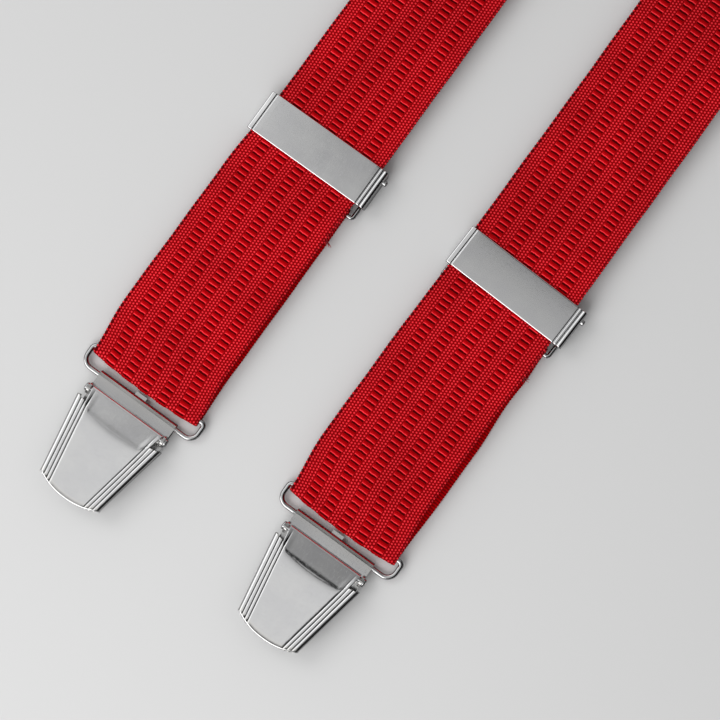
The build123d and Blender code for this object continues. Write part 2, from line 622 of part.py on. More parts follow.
def rear_stitching(side):
    """Stitches that close the webbing's turn round a rear clip's loop."""
    stitches = []
    lean = math.atan((ramp_height(REAR_RUN) - ramp_height(0)) / REAR_RUN)
    for back in REAR_SEWN_ROWS:
        z = ramp_height(REAR_RUN - back) + WEB_THICK + LAYER_GAP + WEB_THICK / 2 / math.cos(lean)
        place = rear_location(side) * Pos(0, REAR_RUN - back, z) * Rot(math.degrees(lean), 0, 0)
        stitches += [place * item for item in stitch_row(STITCHES_PER_ROW, STITCH_PITCH, THREAD_LIFT)]
    return Compound(stitches)


# ---- Back patch ----------------------------------------------------------------------------------


def patch_outline(inset):
    """Patch outline: a rectangle with its four corners cut off and every corner rounded."""
    wide = PATCH_HALF_WIDTH - inset
    tall = PATCH_HALF_HEIGHT - inset
    face = make_face(
        Polyline(
            (PATCH_END_SHARE * wide, tall),
            (wide, PATCH_SIDE_SHARE * tall),
            (wide, -PATCH_SIDE_SHARE * tall),
            (PATCH_END_SHARE * wide, -tall),
            (-PATCH_END_SHARE * wide, -tall),
            (-wide, -PATCH_SIDE_SHARE * tall),
            (-wide, PATCH_SIDE_SHARE * tall),
            (-PATCH_END_SHARE * wide, tall),
            close=True,
        )
    )
    return fillet(face.vertices(), PATCH_CORNER_R)


def back_patch():
    """Leather patch under the crossing of the two straps."""
    patch = extrude(patch_outline(0), PATCH_THICK)
    return Pos(0, PATCH_CENTRE_Y, 0) * patch


def patch_stitching():
    """Stitches round the patch's edge, lying on its upper face outside the straps."""
    edge = patch_outline(PATCH_SEAM_INSET).face().outer_wire()
    count = int(edge.length / STITCH_PITCH)
    stitches = []
    for step in range(count):
        place = edge.location_at(step / count)
        point = place.position
        heading = edge.tangent_at(step / count)
        turn = math.degrees(math.atan2(heading.Y, heading.X))
        stitch = Pos(point.X, point.Y, 0) * Rot(0, 0, turn) * Box(STITCH_LENGTH, 2 * STITCH_R, STITCH_R)
        if not near_strap(point.X, point.Y):
            stitches.append(Pos(0, PATCH_CENTRE_Y, PATCH_THICK + THREAD_LIFT + STITCH_R / 2) * stitch)
    return Compound(stitches)


def near_strap(x, y):
    """Whether a point of the patch, measured from its centre, lies under either strap."""
    angle = math.radians(REAR_ANGLE)
    reach = HALF_WIDTH + STITCH_LENGTH
    return any(abs(x * math.cos(angle) - sign * y * math.sin(angle)) < reach for sign in (-1, 1))


# ---- Write one file per node ---------------------------------------------------------------------


def save(name, shape):
    """Move one sub-part to the shared frame, whose origin is the patch's centre, and write it."""
    export_step(Pos(0, -PATCH_CENTRE_Y, 0) * shape, f"parts/{name}.step")


def build():
    """Build every sub-part in its place."""
    os.makedirs("parts", exist_ok=True)
    clip = {name: make() for name, make in CLIP_PARTS.items()}
    adjuster = {name: make() for name, make in ADJUSTER_PARTS.items()}
    for side, sign in SIDE_SIGN.items():
        front = Pos(sign * STRAP_SPACING / 2, FRONT_FOLD_Y[side], 0)
        for name, solid in clip.items():
            save(f"front_{side}_{name}", front * solid)
            save(f"rear_{side}_{name}", rear_clip_location(side) * solid)
        for name, solid in adjuster.items():
            save(f"{side}_{name}", place_adjuster(solid, side))
        save(f"{side}_strap_clip_fold", front * front_fold())
        save(f"{side}_strap_front_run", front * front_run(side))
        save(f"{side}_strap_return_run", front * return_run(side))
        save(f"{side}_return_stitching", front * return_stitching(side))
        save(f"{side}_shoulder_strap", shoulder_strap(side))
        save(f"{side}_rear_stitching", rear_stitching(side))
    save("back_patch", back_patch())
    save("back_patch_stitching", patch_stitching())


build()
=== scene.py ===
import bpy
import json
import math
import numpy as np
from mathutils import Matrix, Vector


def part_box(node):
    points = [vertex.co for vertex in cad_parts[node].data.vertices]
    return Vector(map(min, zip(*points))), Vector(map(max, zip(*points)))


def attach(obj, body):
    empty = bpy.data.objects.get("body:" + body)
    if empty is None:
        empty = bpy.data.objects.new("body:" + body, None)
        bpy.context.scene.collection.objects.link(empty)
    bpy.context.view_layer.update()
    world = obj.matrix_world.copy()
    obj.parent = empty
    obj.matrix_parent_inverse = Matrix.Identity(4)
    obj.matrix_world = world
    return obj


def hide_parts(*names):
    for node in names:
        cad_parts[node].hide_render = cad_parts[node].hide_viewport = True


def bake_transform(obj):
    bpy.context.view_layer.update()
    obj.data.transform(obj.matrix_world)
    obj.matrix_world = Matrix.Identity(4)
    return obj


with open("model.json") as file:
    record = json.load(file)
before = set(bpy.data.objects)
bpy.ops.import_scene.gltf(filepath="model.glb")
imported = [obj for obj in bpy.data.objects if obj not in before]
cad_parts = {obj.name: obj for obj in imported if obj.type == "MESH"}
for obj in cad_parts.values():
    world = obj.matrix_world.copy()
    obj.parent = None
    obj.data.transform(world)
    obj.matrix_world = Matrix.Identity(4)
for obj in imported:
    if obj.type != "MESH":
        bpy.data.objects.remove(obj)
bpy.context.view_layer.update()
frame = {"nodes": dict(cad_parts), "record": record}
MM = 0.001
SIDES = ("left", "right")
SIGN = {"left": -1, "right": 1}

# ==== Driving dimensions, in millimetres and degrees ====
WEB_WIDTH = 35.0
WEB_THICK = 1.3
HALF_WEB = WEB_WIDTH / 2
SHEET = 0.7
SHOULDER = 580.0
FRONT_TOP = 560.0
REAR_ANGLE = 22.0
REAR_RUN = 460.0
ADJUSTER_SKEW = {"left": 0.0, "right": -2.0}

# The weave: ladder ribs crossed by slots, with rows of dots between them.
WEAVE_PITCH = 1.714
RIB_COLUMNS = 5
RIB_STEP = 5.86
RIB_HALF = 1.45
SLOT_PHASE = 0.8
SLOT_SPREAD = 0.16
SLOT_DEPTH = 0.28
DOT_STEP = 0.86
DOT_DEPTH = 0.12
DOT_INSET = 0.03
ROW_PHASE = 0.2
ROW_GAP = 0.15
BACK_INSET = 0.05
BACK_RIPPLE = 0.04

# The edges: rounded over their last stretch, with notches between the looped threads.
EDGE_ROUND = 0.75
EDGE_DROP = 0.32
EDGE_HALF = 0.3
EDGE_TRIM = 0.04
LOOP_DEPTH = 0.16

# How the soft straps lie: bowed at the fold, and swaying sideways below and above the adjuster.
# Pairs are the heights above the fold over which a change sets in.
FOLD_BOW = 0.85
BOW_END = 14.0
FOLD_SWAY = 0.3
SWAY_LOW = {"left": 1.5, "right": 1.8}
SWAY_HIGH = {"left": 0.0, "right": 1.1}
SWAY_START = (1, 18)
SWAY_FADE = {"left": (62, 90), "right": (50, 80)}
SWAY_END = (170, 300)

# The front run steps up from the clip's wire; PLAIN_RUN is its upper stretch, with wider spaced rows.
STEP_FOOT = 5.0
STEP_TOP = 13.0
SOFT_TURN = 5.0
TIGHT_TURN = 1.5
PLAIN_RUN = 330.0

# The return run, measured from the fold: it peeks out sideways, and from FEED_LOW to FEED_HIGH comes to
# turn with the adjuster. Its sewn tail goes over the adjuster's bar, and its hem lies beyond the stitches.
RETURN_PEEK = {"left": 0.6, "right": 1.7}
PEEK_START = 16.0
FEED_LOW = 35.0
FEED_HIGH = 58.0
FEED_END = 70.0
LAYER_GAP = 0.05
TAIL_FLAT = 1.3
TAIL_FOOT = 5.2
HEM = 1.25

# The rear run climbs over the crossing; its rise to the clip's wire is measured back from its end.
LEAD_IN = 20.0
LEAD_FLAT = 16.0
CROSS_FLAT = 46.0
CROSS_FOOT = 74.0
CROSS_Z = {"left": 3.25, "right": 1.9}
RISE_START = 34.0
RISE_END = 8.0
REAR_TAIL = (13.95, 24.0)

# Loose threads at the sewn ends.
FRAY_STRANDS = 6
FRAY_RADIUS = 0.11
FRAY_STEP = 0.16


# ==== Places taken from the frame ====
def box_mm(node):
    """Lowest and highest corner of a CAD node, in millimetres."""
    low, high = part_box(node)
    return np.array(low) / MM, np.array(high) / MM


STRAP_X = {side: float(sum(corner[0] for corner in box_mm(f"{side}_strap_clip_fold")) / 2) for side in SIDES}
FOLD_Y = {side: float(box_mm(f"{side}_strap_clip_fold")[0][1]) for side in SIDES}
FOLD_R = float(box_mm("left_strap_clip_fold")[1][2]) / 2
FOLD_MID = FOLD_R - WEB_THICK / 2
BASE_Y = FOLD_Y["left"]
FLAT_Z = WEB_THICK / 2
RUN_Z = float(box_mm("left_strap_front_run")[1][2]) - FLAT_Z
CREASE_R = (RUN_Z - FLAT_Z) / 2
CREASE_Z = (RUN_Z + FLAT_Z) / 2
SHOULDER_Y = SHOULDER + BASE_Y
STITCHES_Y = float(box_mm("left_return_stitching")[0][1]) - BASE_Y


# ==== Mesh helpers ====
def add_object(name, data):
    """A new object in the scene."""
    obj = bpy.data.objects.new(name, data)
    bpy.context.scene.collection.objects.link(obj)
    return obj


def mesh_object(name, points, faces, attribute=None):
    """A mesh object from points in millimetres and a list of face index lists."""
    mesh = bpy.data.meshes.new(name)
    mesh.vertices.add(len(points))
    mesh.vertices.foreach_set("co", (np.asarray(points) * MM).astype(np.float32).ravel())
    counts = np.array([len(face) for face in faces], np.int32)
    mesh.loops.add(int(counts.sum()))
    mesh.loops.foreach_set("vertex_index", np.concatenate([np.asarray(face, np.int32) for face in faces]))
    mesh.polygons.add(len(faces))
    starts = np.concatenate([[0], np.cumsum(counts)[:-1]]).astype(np.int32)
    mesh.polygons.foreach_set("loop_start", starts)
    mesh.update(calc_edges=True)
    if attribute is not None:
        layer = mesh.attributes.new("weave", "FLOAT_VECTOR", "POINT")
        layer.data.foreach_set("vector", np.asarray(attribute, np.float32).ravel())
    mesh.validate()
    return add_object(name, mesh)


def dress(obj, material):
    """Gives a piece its material."""
    obj.data.materials.clear()
    obj.data.materials.append(material)


def smooth(obj, angle):
    """Smooth shading that keeps edges sharper than the angle crisp."""
    obj.data.polygons.foreach_set("use_smooth", np.ones(len(obj.data.polygons), bool))
    obj.data.set_sharp_from_angle(angle=math.radians(angle))


def apply_modifiers(obj):
    """Turns the object's modifiers into plain mesh."""
    graph = bpy.context.evaluated_depsgraph_get()
    mesh = bpy.data.meshes.new_from_object(obj.evaluated_get(graph))
    obj.modifiers.clear()
    obj.data = mesh


def round_edges(obj, width, segments, angle):
    """Adds a bevel to every edge sharper than the angle; the width is in millimetres."""
    bevel = obj.modifiers.new("rim", "BEVEL")
    bevel.width = width * MM
    bevel.segments = segments
    bevel.limit_method = "ANGLE"
    bevel.angle_limit = math.radians(angle)
    bevel.harden_normals = False


def thicken(obj):
    """Gives a skin its sheet-metal thickness, inwards from the outer face, and softens its rims."""
    obj.data.update()
    if sum(face.normal.z * face.area for face in obj.data.polygons) < 0:
        obj.data.flip_normals()
    solid = obj.modifiers.new("sheet", "SOLIDIFY")
    solid.thickness = SHEET * MM
    solid.offset = -1
    solid.use_even_offset = False
    apply_modifiers(obj)
    round_edges(obj, width=0.09, segments=2, angle=55)
    apply_modifiers(obj)
    smooth(obj, 40)
    return obj


def tube_faces(rows, ring):
    """Quads of a closed tube of rows x ring points."""
    a = np.arange(rows - 1)[:, None] * ring
    b = np.arange(ring)[None, :]
    c = (b + 1) % ring
    quads = np.stack([a + b, a + ring + b, a + ring + c, a + c], axis=-1)
    return quads.reshape(-1, 4).tolist()


def sheet_faces(rows, columns, keep=None):
    """Quads of an open sheet of rows x columns points, optionally only where keep(row, column) is true."""
    faces = []
    for row in range(rows - 1):
        for column in range(columns - 1):
            if keep is None or keep(row, column):
                k = row * columns + column
                faces.append([k, k + 1, k + columns + 1, k + columns])
    return faces


def signed_volume(points, faces):
    """Positive when the four-sided faces look outwards."""
    quads = np.array([face for face in faces if len(face) == 4])
    a, b, c, d = (points[quads[:, k]] for k in range(4))
    return float(sum(np.einsum("ij,ij->i", a, turn).sum() for turn in (np.cross(b, c), np.cross(c, d))))


def rounded(points, radius, step=0.25):
    """A polyline with its inner corners rounded to a curve."""
    points = [np.array(point, float) for point in points]
    path = [points[0]]
    for before, corner, after in zip(points, points[1:], points[2:]):
        inward = (corner - before) / np.linalg.norm(corner - before)
        outward = (after - corner) / np.linalg.norm(after - corner)
        turn = math.acos(float(np.clip(inward @ outward, -1, 1)))
        if turn < 1e-4:
            continue
        reach = radius * math.tan(turn / 2)
        start, end = corner - inward * reach, corner + outward * reach
        count = max(4, int(radius * turn / step) + 1)
        for t in np.linspace(0, 1, count):
            path.append((1 - t) ** 2 * start + 2 * t * (1 - t) * corner + t * t * end)
    path.append(points[-1])
    return path


def arc(centre, radius, start, end, count=24):
    """Points on a circle, angles in degrees."""
    angles = np.radians(np.linspace(start, end, count))
    return [np.array([centre[0] + radius * math.cos(a), centre[1] + radius * math.sin(a)]) for a in angles]


def fall(value, start, end):
    """1 before start, 0 after end, with a smooth turn between."""
    t = np.clip((value - start) / (end - start), 0, 1)
    return 1 - t * t * (3 - 2 * t)


class Track:
    """A path in a plane, measured by distance along it; the normal lies to the right of travel."""

    SPACING = 0.12

    def __init__(self, points):
        points = np.array(points)
        points = points[np.concatenate([[True], self.steps(points) > 1e-6])]
        along = np.concatenate([[0], np.cumsum(self.steps(points))])
        self.length = float(along[-1])
        even = np.linspace(0, self.length, int(self.length / self.SPACING) + 2)
        a, b = np.interp(even, along, points[:, 0]), np.interp(even, along, points[:, 1])
        da, db = np.gradient(a, even), np.gradient(b, even)
        size = np.hypot(da, db)
        self.even = even
        self.values = (a, b, db / size, -da / size)

    @staticmethod
    def steps(points):
        """Distances between neighbouring points."""
        return np.linalg.norm(np.diff(points, axis=0), axis=1)

    def at(self, distance):
        """Position (a, b) and normal (a, b) at a distance along the path."""
        return [np.interp(distance, self.even, values) for values in self.values]


# ==== Woven webbing ====
def fine_stations():
    """Distances across the webbing, from edge to edge, that fall on ribs, dots and the gaps between."""
    offsets = [sign * k for sign in (-1, 1) for k in (0.45, 0.9, 1.35, 1.62, 2.25)] + [0.0, RIB_STEP / 2]
    rims = [0.12, 0.45, 0.8]
    across = [-HALF_WEB + k for k in rims] + [HALF_WEB - k for k in rims]
    for band in range(RIB_COLUMNS + 1):
        centre = (band - RIB_COLUMNS / 2) * RIB_STEP
        across += [centre + k for k in offsets]
    inside = sorted(k for k in across if abs(k) <= HALF_WEB - 0.1)
    return np.array([k for i, k in enumerate(inside) if i == 0 or k - inside[i - 1] > 0.2])


def pitch_rows(start, end, per_pitch=4):
    """Rows from start to end that keep step with the weave, both ends included."""
    step = WEAVE_PITCH / per_pitch
    low, high = min(start, end), max(start, end)
    first = math.ceil((low / WEAVE_PITCH - ROW_PHASE) * per_pitch) / per_pitch + ROW_PHASE
    inner = np.arange(first * WEAVE_PITCH, high, step)
    inner = inner[(inner > low + ROW_GAP) & (inner < high - ROW_GAP)]
    rows = np.concatenate([[low], inner, [high]])
    return rows if end > start else rows[::-1]


def weave_relief(across, along):
    """Depth of the woven face below its highest threads: ladder ribs with slots, and dots between them."""
    phase = np.mod(-along / WEAVE_PITCH, 1)
    outermost = RIB_COLUMNS // 2
    column = np.clip(np.round(across / RIB_STEP), -outermost, outermost)
    rib = fall(np.abs(across - column * RIB_STEP), RIB_HALF - 0.05, RIB_HALF + 0.2)
    slot = np.exp(-((np.mod(phase - SLOT_PHASE + 0.5, 1) - 0.5) / SLOT_SPREAD) ** 2)
    from_band = (np.mod(across / RIB_STEP, 1) - 0.5) * RIB_STEP
    cell = from_band / DOT_STEP + 0.5
    stagger = np.mod(np.floor(cell), 2) * 0.5
    beat = np.mod(2 * phase + stagger, 1) - 0.5
    lift = np.cos(beat * 2 * np.pi) * np.cos((np.mod(cell, 1) - 0.5) * np.pi)
    dots = DOT_DEPTH * (1 - np.clip(lift, 0, 1))
    return -(rib * SLOT_DEPTH * slot + (1 - rib) * (dots + DOT_INSET))


def webbing(name, rows, place, fine=True):
    """A closed woven strip: rows are distances along it, place(across, along, height) gives the points."""
    front = fine_stations() if fine else fine_stations()[::2]
    back = np.linspace(HALF_WEB - 0.15, 0.15 - HALF_WEB, 20)
    edge = HALF_WEB - 0.02
    stations = np.concatenate([front, [edge, edge], back, [-edge, -edge]])
    ring, corner = len(stations), len(front)
    rows = np.asarray(rows, float)
    across, along = np.meshgrid(stations, rows)
    faces_up, faces_down = slice(0, corner), slice(corner + 2, ring - 2)

    near_edge = np.clip(np.abs(across) - HALF_WEB + EDGE_ROUND, 0, EDGE_ROUND) / EDGE_ROUND
    shoulder = EDGE_DROP * (1 - np.sqrt(np.clip(1 - near_edge ** 2, 0, 1)))
    ripple = BACK_INSET + BACK_RIPPLE * np.cos(along * 2 * np.pi / WEAVE_PITCH)
    height = np.zeros_like(across)
    height[:, faces_up] = (WEB_THICK / 2 + weave_relief(across, along) - shoulder)[:, faces_up]
    height[:, faces_down] = (-WEB_THICK / 2 + ripple + shoulder)[:, faces_down]
    height[:, [corner, ring - 1]] = EDGE_HALF
    height[:, [corner + 1, ring - 2]] = -EDGE_HALF

    # the edges drift a little, with a long and a short swing
    wander = 0.07 * np.sin(along * 0.071 + 1.3) + 0.04 * np.sin(along * 0.31)
    notch = np.mod(2 * along / WEAVE_PITCH + 0.25, 1) > 0.5
    loops = LOOP_DEPTH * notch * (np.abs(across) > HALF_WEB - 0.2) + EDGE_TRIM
    placed = across * (1 - loops / HALF_WEB) + wander * (np.abs(across) / HALF_WEB) ** 8
    points = place(placed, along, height).reshape(-1, 3)

    woven = np.zeros_like(across)
    woven[:, : corner + 1] = 1
    woven[:, -1] = 1
    weave = np.stack([across + HALF_WEB, along, woven], axis=-1).reshape(-1, 3)
    faces = tube_faces(len(rows), ring)
    faces.append(list(range(ring))[::-1])
    faces.append([(len(rows) - 1) * ring + k for k in range(ring)])
    if signed_volume(points, faces) < 0:
        faces = [face[::-1] for face in faces]
    obj = mesh_object(name, points, faces, weave)
    smooth(obj, 62)
    return obj


def front_tracks():
    """The front run down to the clip, the turn round the wire, and the return up to the sewn end."""
    low_z = FOLD_R + FOLD_MID
    bar_low, bar_high = box_mm("left_adjuster_bar")
    bar_y = bar_low[1] + (bar_high[2] - bar_low[2]) / 2 - BASE_Y
    bar_z = (bar_high[2] + bar_low[2]) / 2
    wrap = bar_z - FLAT_Z
    run = rounded([(FRONT_TOP, RUN_Z), (STEP_TOP, RUN_Z), (STEP_FOOT, low_z), (FOLD_R, low_z)], SOFT_TURN)
    turn = arc((FOLD_R, FOLD_R), FOLD_MID, 90, 270)
    flat = [np.array([FOLD_R, FLAT_Z]), np.array([bar_y, FLAT_Z])]
    over = arc((bar_y, bar_z), wrap, -90, 90)
    top_z = bar_z + wrap
    sewn_z = FLAT_Z + WEB_THICK + LAYER_GAP
    tail = [(bar_y, top_z), (bar_y - TAIL_FLAT, top_z)]
    tail += [(bar_y - TAIL_FOOT, sewn_z), (STITCHES_Y - HEM, sewn_z)]
    return Track(run), Track(turn), Track(flat + over + rounded(tail, TIGHT_TURN))


RUN_TRACK, TURN_TRACK, RETURN_TRACK = front_tracks()
V_TOP = FRONT_TOP - SHOULDER
V_FOLD = V_TOP - RUN_TRACK.length
V_RETURN = V_FOLD - TURN_TRACK.length
V_END = V_RETURN - RETURN_TRACK.length


def sway(side, y):
    """How far the strap wanders sideways at a height above the fold: bowed out between clip and adjuster."""
    below = FOLD_SWAY + (SWAY_LOW[side] - FOLD_SWAY) * (1 - fall(y, *SWAY_START))
    above = SWAY_HIGH[side] * fall(y, *SWAY_END)
    share = fall(y, *SWAY_FADE[side])
    return -(share * below + (1 - share) * above)


def place_front(side, track, v_start):
    """Puts webbing on one of the front tracks of a side."""
    centre = sum(box_mm(f"{side}_adjuster_cover")) / 2
    skew = math.radians(ADJUSTER_SKEW[side])

    def place(across, along, height):
        travel = v_start - along
        y, z, normal_y, normal_z = track.at(travel)
        x = STRAP_X[side] + across + sway(side, y)
        bow = FOLD_BOW * (1 - (across / HALF_WEB) ** 2) * fall(y, FOLD_R, BOW_END)
        y = FOLD_Y[side] + y + normal_y * height - bow
        z = z + normal_z * height
        if track is RETURN_TRACK:
            # the layer peeks out beyond the front one, and turns with the adjuster near its top
            peek = RETURN_PEEK[side] * (1 + fall(travel, FEED_HIGH, FEED_END)) / 2
            x = x + peek * (1 - fall(travel, 0, PEEK_START))
            share = 1 - fall(travel, FEED_LOW, FEED_HIGH)
            dx, dy = x - centre[0], y - centre[1]
            x = x + share * (math.cos(skew) * dx - math.sin(skew) * dy - dx)
            y = y + share * (math.sin(skew) * dx + math.cos(skew) * dy - dy)
        return np.stack([x, y, z], axis=-1)

    return place


def rear_track(side):
    """Rear run from the shoulder to the rear clip's wire and back along its sewn tail, as (distance, z)."""
    crossing = abs(STRAP_X[side]) / math.sin(math.radians(REAR_ANGLE))
    wire_z = Lever.top - FOLD_R - FOLD_MID
    centre = REAR_RUN - FOLD_R
    slope = (wire_z - FLAT_Z) / (RISE_START - RISE_END)
    run = [
        (-LEAD_IN, FLAT_Z),
        (LEAD_FLAT, FLAT_Z),
        (crossing - CROSS_FLAT, CROSS_Z[side]),
        (crossing + CROSS_FLAT, CROSS_Z[side]),
        (crossing + CROSS_FOOT, FLAT_Z),
        (REAR_RUN - RISE_START, FLAT_Z),
        (REAR_RUN - RISE_END, wire_z),
        (centre, wire_z),
    ]
    upper = wire_z + 2 * FOLD_MID
    end = [(centre, upper), (centre - FOLD_R, upper)]
    for back in REAR_TAIL:
        end.append((REAR_RUN - back, wire_z + (RISE_END - back) * slope + WEB_THICK + LAYER_GAP))
    turn = arc((centre, wire_z + FOLD_MID), FOLD_MID, -90, 90)
    return Track(rounded(run, SOFT_TURN) + turn + rounded(end, TIGHT_TURN))


def rear_start(side):
    """Where the rear run's middle line leaves the shoulder crease, in the plane of the table."""
    half = math.radians(REAR_ANGLE / 2)
    shift = math.pi * CREASE_R * math.tan(half)
    aside = SIGN[side] * math.cos(half) * shift
    return np.array([STRAP_X[side] - aside, SHOULDER_Y + math.sin(half) * shift])


def place_rear(side, track):
    """Puts webbing on the top of the front run, round the shoulder crease and along the rear run."""
    sign = SIGN[side]
    half, full = math.radians(REAR_ANGLE / 2), math.radians(REAR_ANGLE)
    toward = np.array([sign * math.sin(half), math.cos(half)])
    beside = np.array([math.cos(half), -sign * math.sin(half)])
    direction = -np.array([sign * math.sin(full), math.cos(full)])
    sideways = np.array([math.cos(full), -sign * math.sin(full)])
    crease = np.array([STRAP_X[side], SHOULDER_Y])
    start = rear_start(side)
    v_rear = math.pi * CREASE_R / math.cos(half)

    def place(across, along, height):
        ahead = across * toward[0] + along * toward[1]
        aside = across * beside[0] + along * beside[1]
        bend = np.clip(ahead / CREASE_R, 0, math.pi)
        reach = np.minimum(ahead, 0) + (CREASE_R + height) * np.sin(bend)
        spot = crease + aside[..., None] * beside + reach[..., None] * toward
        z = CREASE_Z + (CREASE_R + height) * np.cos(bend)
        run, rear_z, normal_run, normal_z = track.at(along - v_rear + LEAD_IN)
        flat = start + (run + normal_run * height)[..., None] * direction + across[..., None] * sideways
        behind = ahead > math.pi * CREASE_R
        spot = np.where(behind[..., None], flat, spot)
        z = np.where(behind, rear_z + normal_z * height, z)
        return np.concatenate([spot, z[..., None]], axis=-1)

    return place, v_rear


def front_webbing(side):
    """The front run, between shoulder and adjuster."""
    plain_end = V_TOP - PLAIN_RUN
    rows = np.concatenate([pitch_rows(V_TOP, plain_end, 2), pitch_rows(plain_end, V_FOLD)[1:]])
    obj = webbing(f"{side}_front_webbing", rows, place_front(side, RUN_TRACK, V_TOP))
    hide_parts(f"{side}_strap_front_run")
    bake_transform(obj)
    return obj


def fold_webbing(side):
    """The turn round the clip's wire."""
    rows = pitch_rows(V_FOLD, V_RETURN, 5)
    obj = webbing(f"{side}_fold_webbing", rows, place_front(side, TURN_TRACK, V_FOLD))
    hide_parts(f"{side}_strap_clip_fold")
    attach(obj, f"{side}_front_fold")
    return obj


def return_webbing(side):
    """The return run, which stretches between the fold and its sewn end at the adjuster."""
    rows = pitch_rows(V_RETURN, V_END)
    obj = webbing(f"{side}_return_webbing", rows, place_front(side, RETURN_TRACK, V_RETURN))
    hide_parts(f"{side}_strap_return_run")
    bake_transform(obj)
    return obj


def shoulder_webbing(side):
    """The shoulder crease and the back of the strap down to the rear clip."""
    track = rear_track(side)
    place, v_rear = place_rear(side, track)
    crease_start, crease_end, clip_start = -14, 24, v_rear + REAR_RUN - 12
    rows = np.concatenate([
        pitch_rows(V_TOP, crease_start, 2)[:-1],
        pitch_rows(crease_start, crease_end, 6),
        pitch_rows(crease_end, clip_start, 2)[1:-1],
        pitch_rows(clip_start, v_rear + track.length - LEAD_IN, 6),
    ])
    obj = webbing(f"{side}_shoulder_webbing", rows, place, fine=False)
    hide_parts(f"{side}_shoulder_strap")
    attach(obj, "strap_set")
    return obj


def build_webbing(material):
    """The four woven pieces of each side."""
    for side in SIDES:
        for build in (front_webbing, fold_webbing, return_webbing, shoulder_webbing):
            dress(build(side), material)


def thread_tube(points, radius, sides=6):
    """Rings round a short tapering thread and the faces that close them; points in millimetres."""
    rings, faces = [], tube_faces(len(points), sides)
    for k, point in enumerate(points):
        ahead = points[min(k + 1, len(points) - 1)] - points[max(k - 1, 0)]
        ahead /= np.linalg.norm(ahead)
        side = np.cross(ahead, (0, 0, 1))
        side /= np.linalg.norm(side)
        rise = np.cross(side, ahead)
        size = radius * (1 - 0.6 * (k / (len(points) - 1)) ** 3)
        for angle in np.linspace(0, 2 * math.pi, sides, endpoint=False):
            rings.append(point + size * (math.cos(angle) * side + math.sin(angle) * rise))
    faces.append(list(range(sides))[::-1])
    faces.append([len(rings) - sides + k for k in range(sides)])
    return rings, faces


def build_fray(side, material):
    """A few loose threads where the sewn end of the webbing shows at the strap's right edge."""
    random = np.random.default_rng(11 + SIDES.index(side))
    end_y = FOLD_Y[side] + STITCHES_Y - HEM + 0.15
    root_x = STRAP_X[side] + HALF_WEB - SWAY_LOW[side] - 0.4
    points, faces = [], []
    for strand in range(FRAY_STRANDS):
        reach = random.uniform(1.2, 2.6)
        lean, sag = random.uniform(-1.3, 0.5), random.uniform(-0.5, 0.3)
        root = np.array([root_x, end_y + FRAY_STEP * strand, FLAT_Z + WEB_THICK + random.uniform(-0.3, 0.3)])
        path = [root + np.array([reach * t, lean * t * t, sag * t * t]) for t in np.linspace(0, 1, 7)]
        rings, quads = thread_tube(path, FRAY_RADIUS)
        faces += [[k + len(points) for k in face] for face in quads]
        points += rings
    obj = mesh_object(f"{side}_loose_threads", np.array(points), faces)
    smooth(obj, 60)
    dress(obj, material)
    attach(obj, f"{side}_adjuster")


# ==== Lever covers ====
class Lever:
    """Sizes of a clip's lever cover. Heights are up the clip, y = 0 at the strap's fold."""

    shoulder_y = -11.0
    notch_y = -11.6
    bend_side = -13.3
    bend_mid = -14.1
    corner_y = -33.4
    tip = -36.0
    # half widths
    shoulder = 13.9
    bend_half = 8.75
    corner = 9.9
    tongue = 11.5
    # the outer face and the flanges above the table
    top = 7.2
    flange_top = 3.4
    flange_tip = 5.4
    # the curl round the pin
    pin_y = -8.2
    pin_z = 4.05
    curl = 1.36
    # rolled edges, the soft bend to the tongue, and the crowns of both
    edge = 1.15
    edge_drop = 0.85
    roll = 0.4
    slope = 0.325
    bend_soft = 0.95
    crown = 0.22
    tongue_crown = 0.45


GROOVES = (1.7, 2.95, 4.05)
GROOVE_DEPTH = 0.18
GROOVE_WIDTH = 0.17
NOTCH_INSET = 3.05
PANEL_INSET = 5.2


def wing_share(y):
    """How far up the flared sides a height lies: 0 at the lower corner, 1 at the shoulder."""
    return (y - Lever.corner_y) / (Lever.shoulder_y - Lever.corner_y)


def lever_half(y):
    """Half the lever's width at a height y."""
    return Lever.corner + (Lever.shoulder - Lever.corner) * wing_share(y)


NOTCH_HALF = lever_half(Lever.notch_y) - NOTCH_INSET


def groove_depth(inset):
    """Depth of the pressed grooves at a distance in from the lever's edge."""
    return GROOVE_DEPTH * sum(math.exp(-((inset - groove) / GROOVE_WIDTH) ** 2) for groove in GROOVES)


def lever_top_edge(x):
    """Where the flat of the lever ends: the bend line in the middle, the wing's edge at the sides."""
    x = abs(x)
    if x < Lever.bend_half:
        return Lever.bend_mid + (Lever.bend_side - Lever.bend_mid) * (x / Lever.bend_half) ** 2
    if x < NOTCH_HALF:
        share = (x - Lever.bend_half) / (NOTCH_HALF - Lever.bend_half)
        return Lever.bend_side + (Lever.notch_y - Lever.bend_side) * share
    share = (x - NOTCH_HALF) / (Lever.shoulder - NOTCH_HALF)
    return Lever.notch_y + (Lever.shoulder_y - Lever.notch_y) * share


def lever_bottom_edge(x):
    """The lever's rounded lower end."""
    share = min(abs(x) / Lever.corner, 1)
    return Lever.tip + (Lever.corner_y - Lever.tip) * share ** 2.2


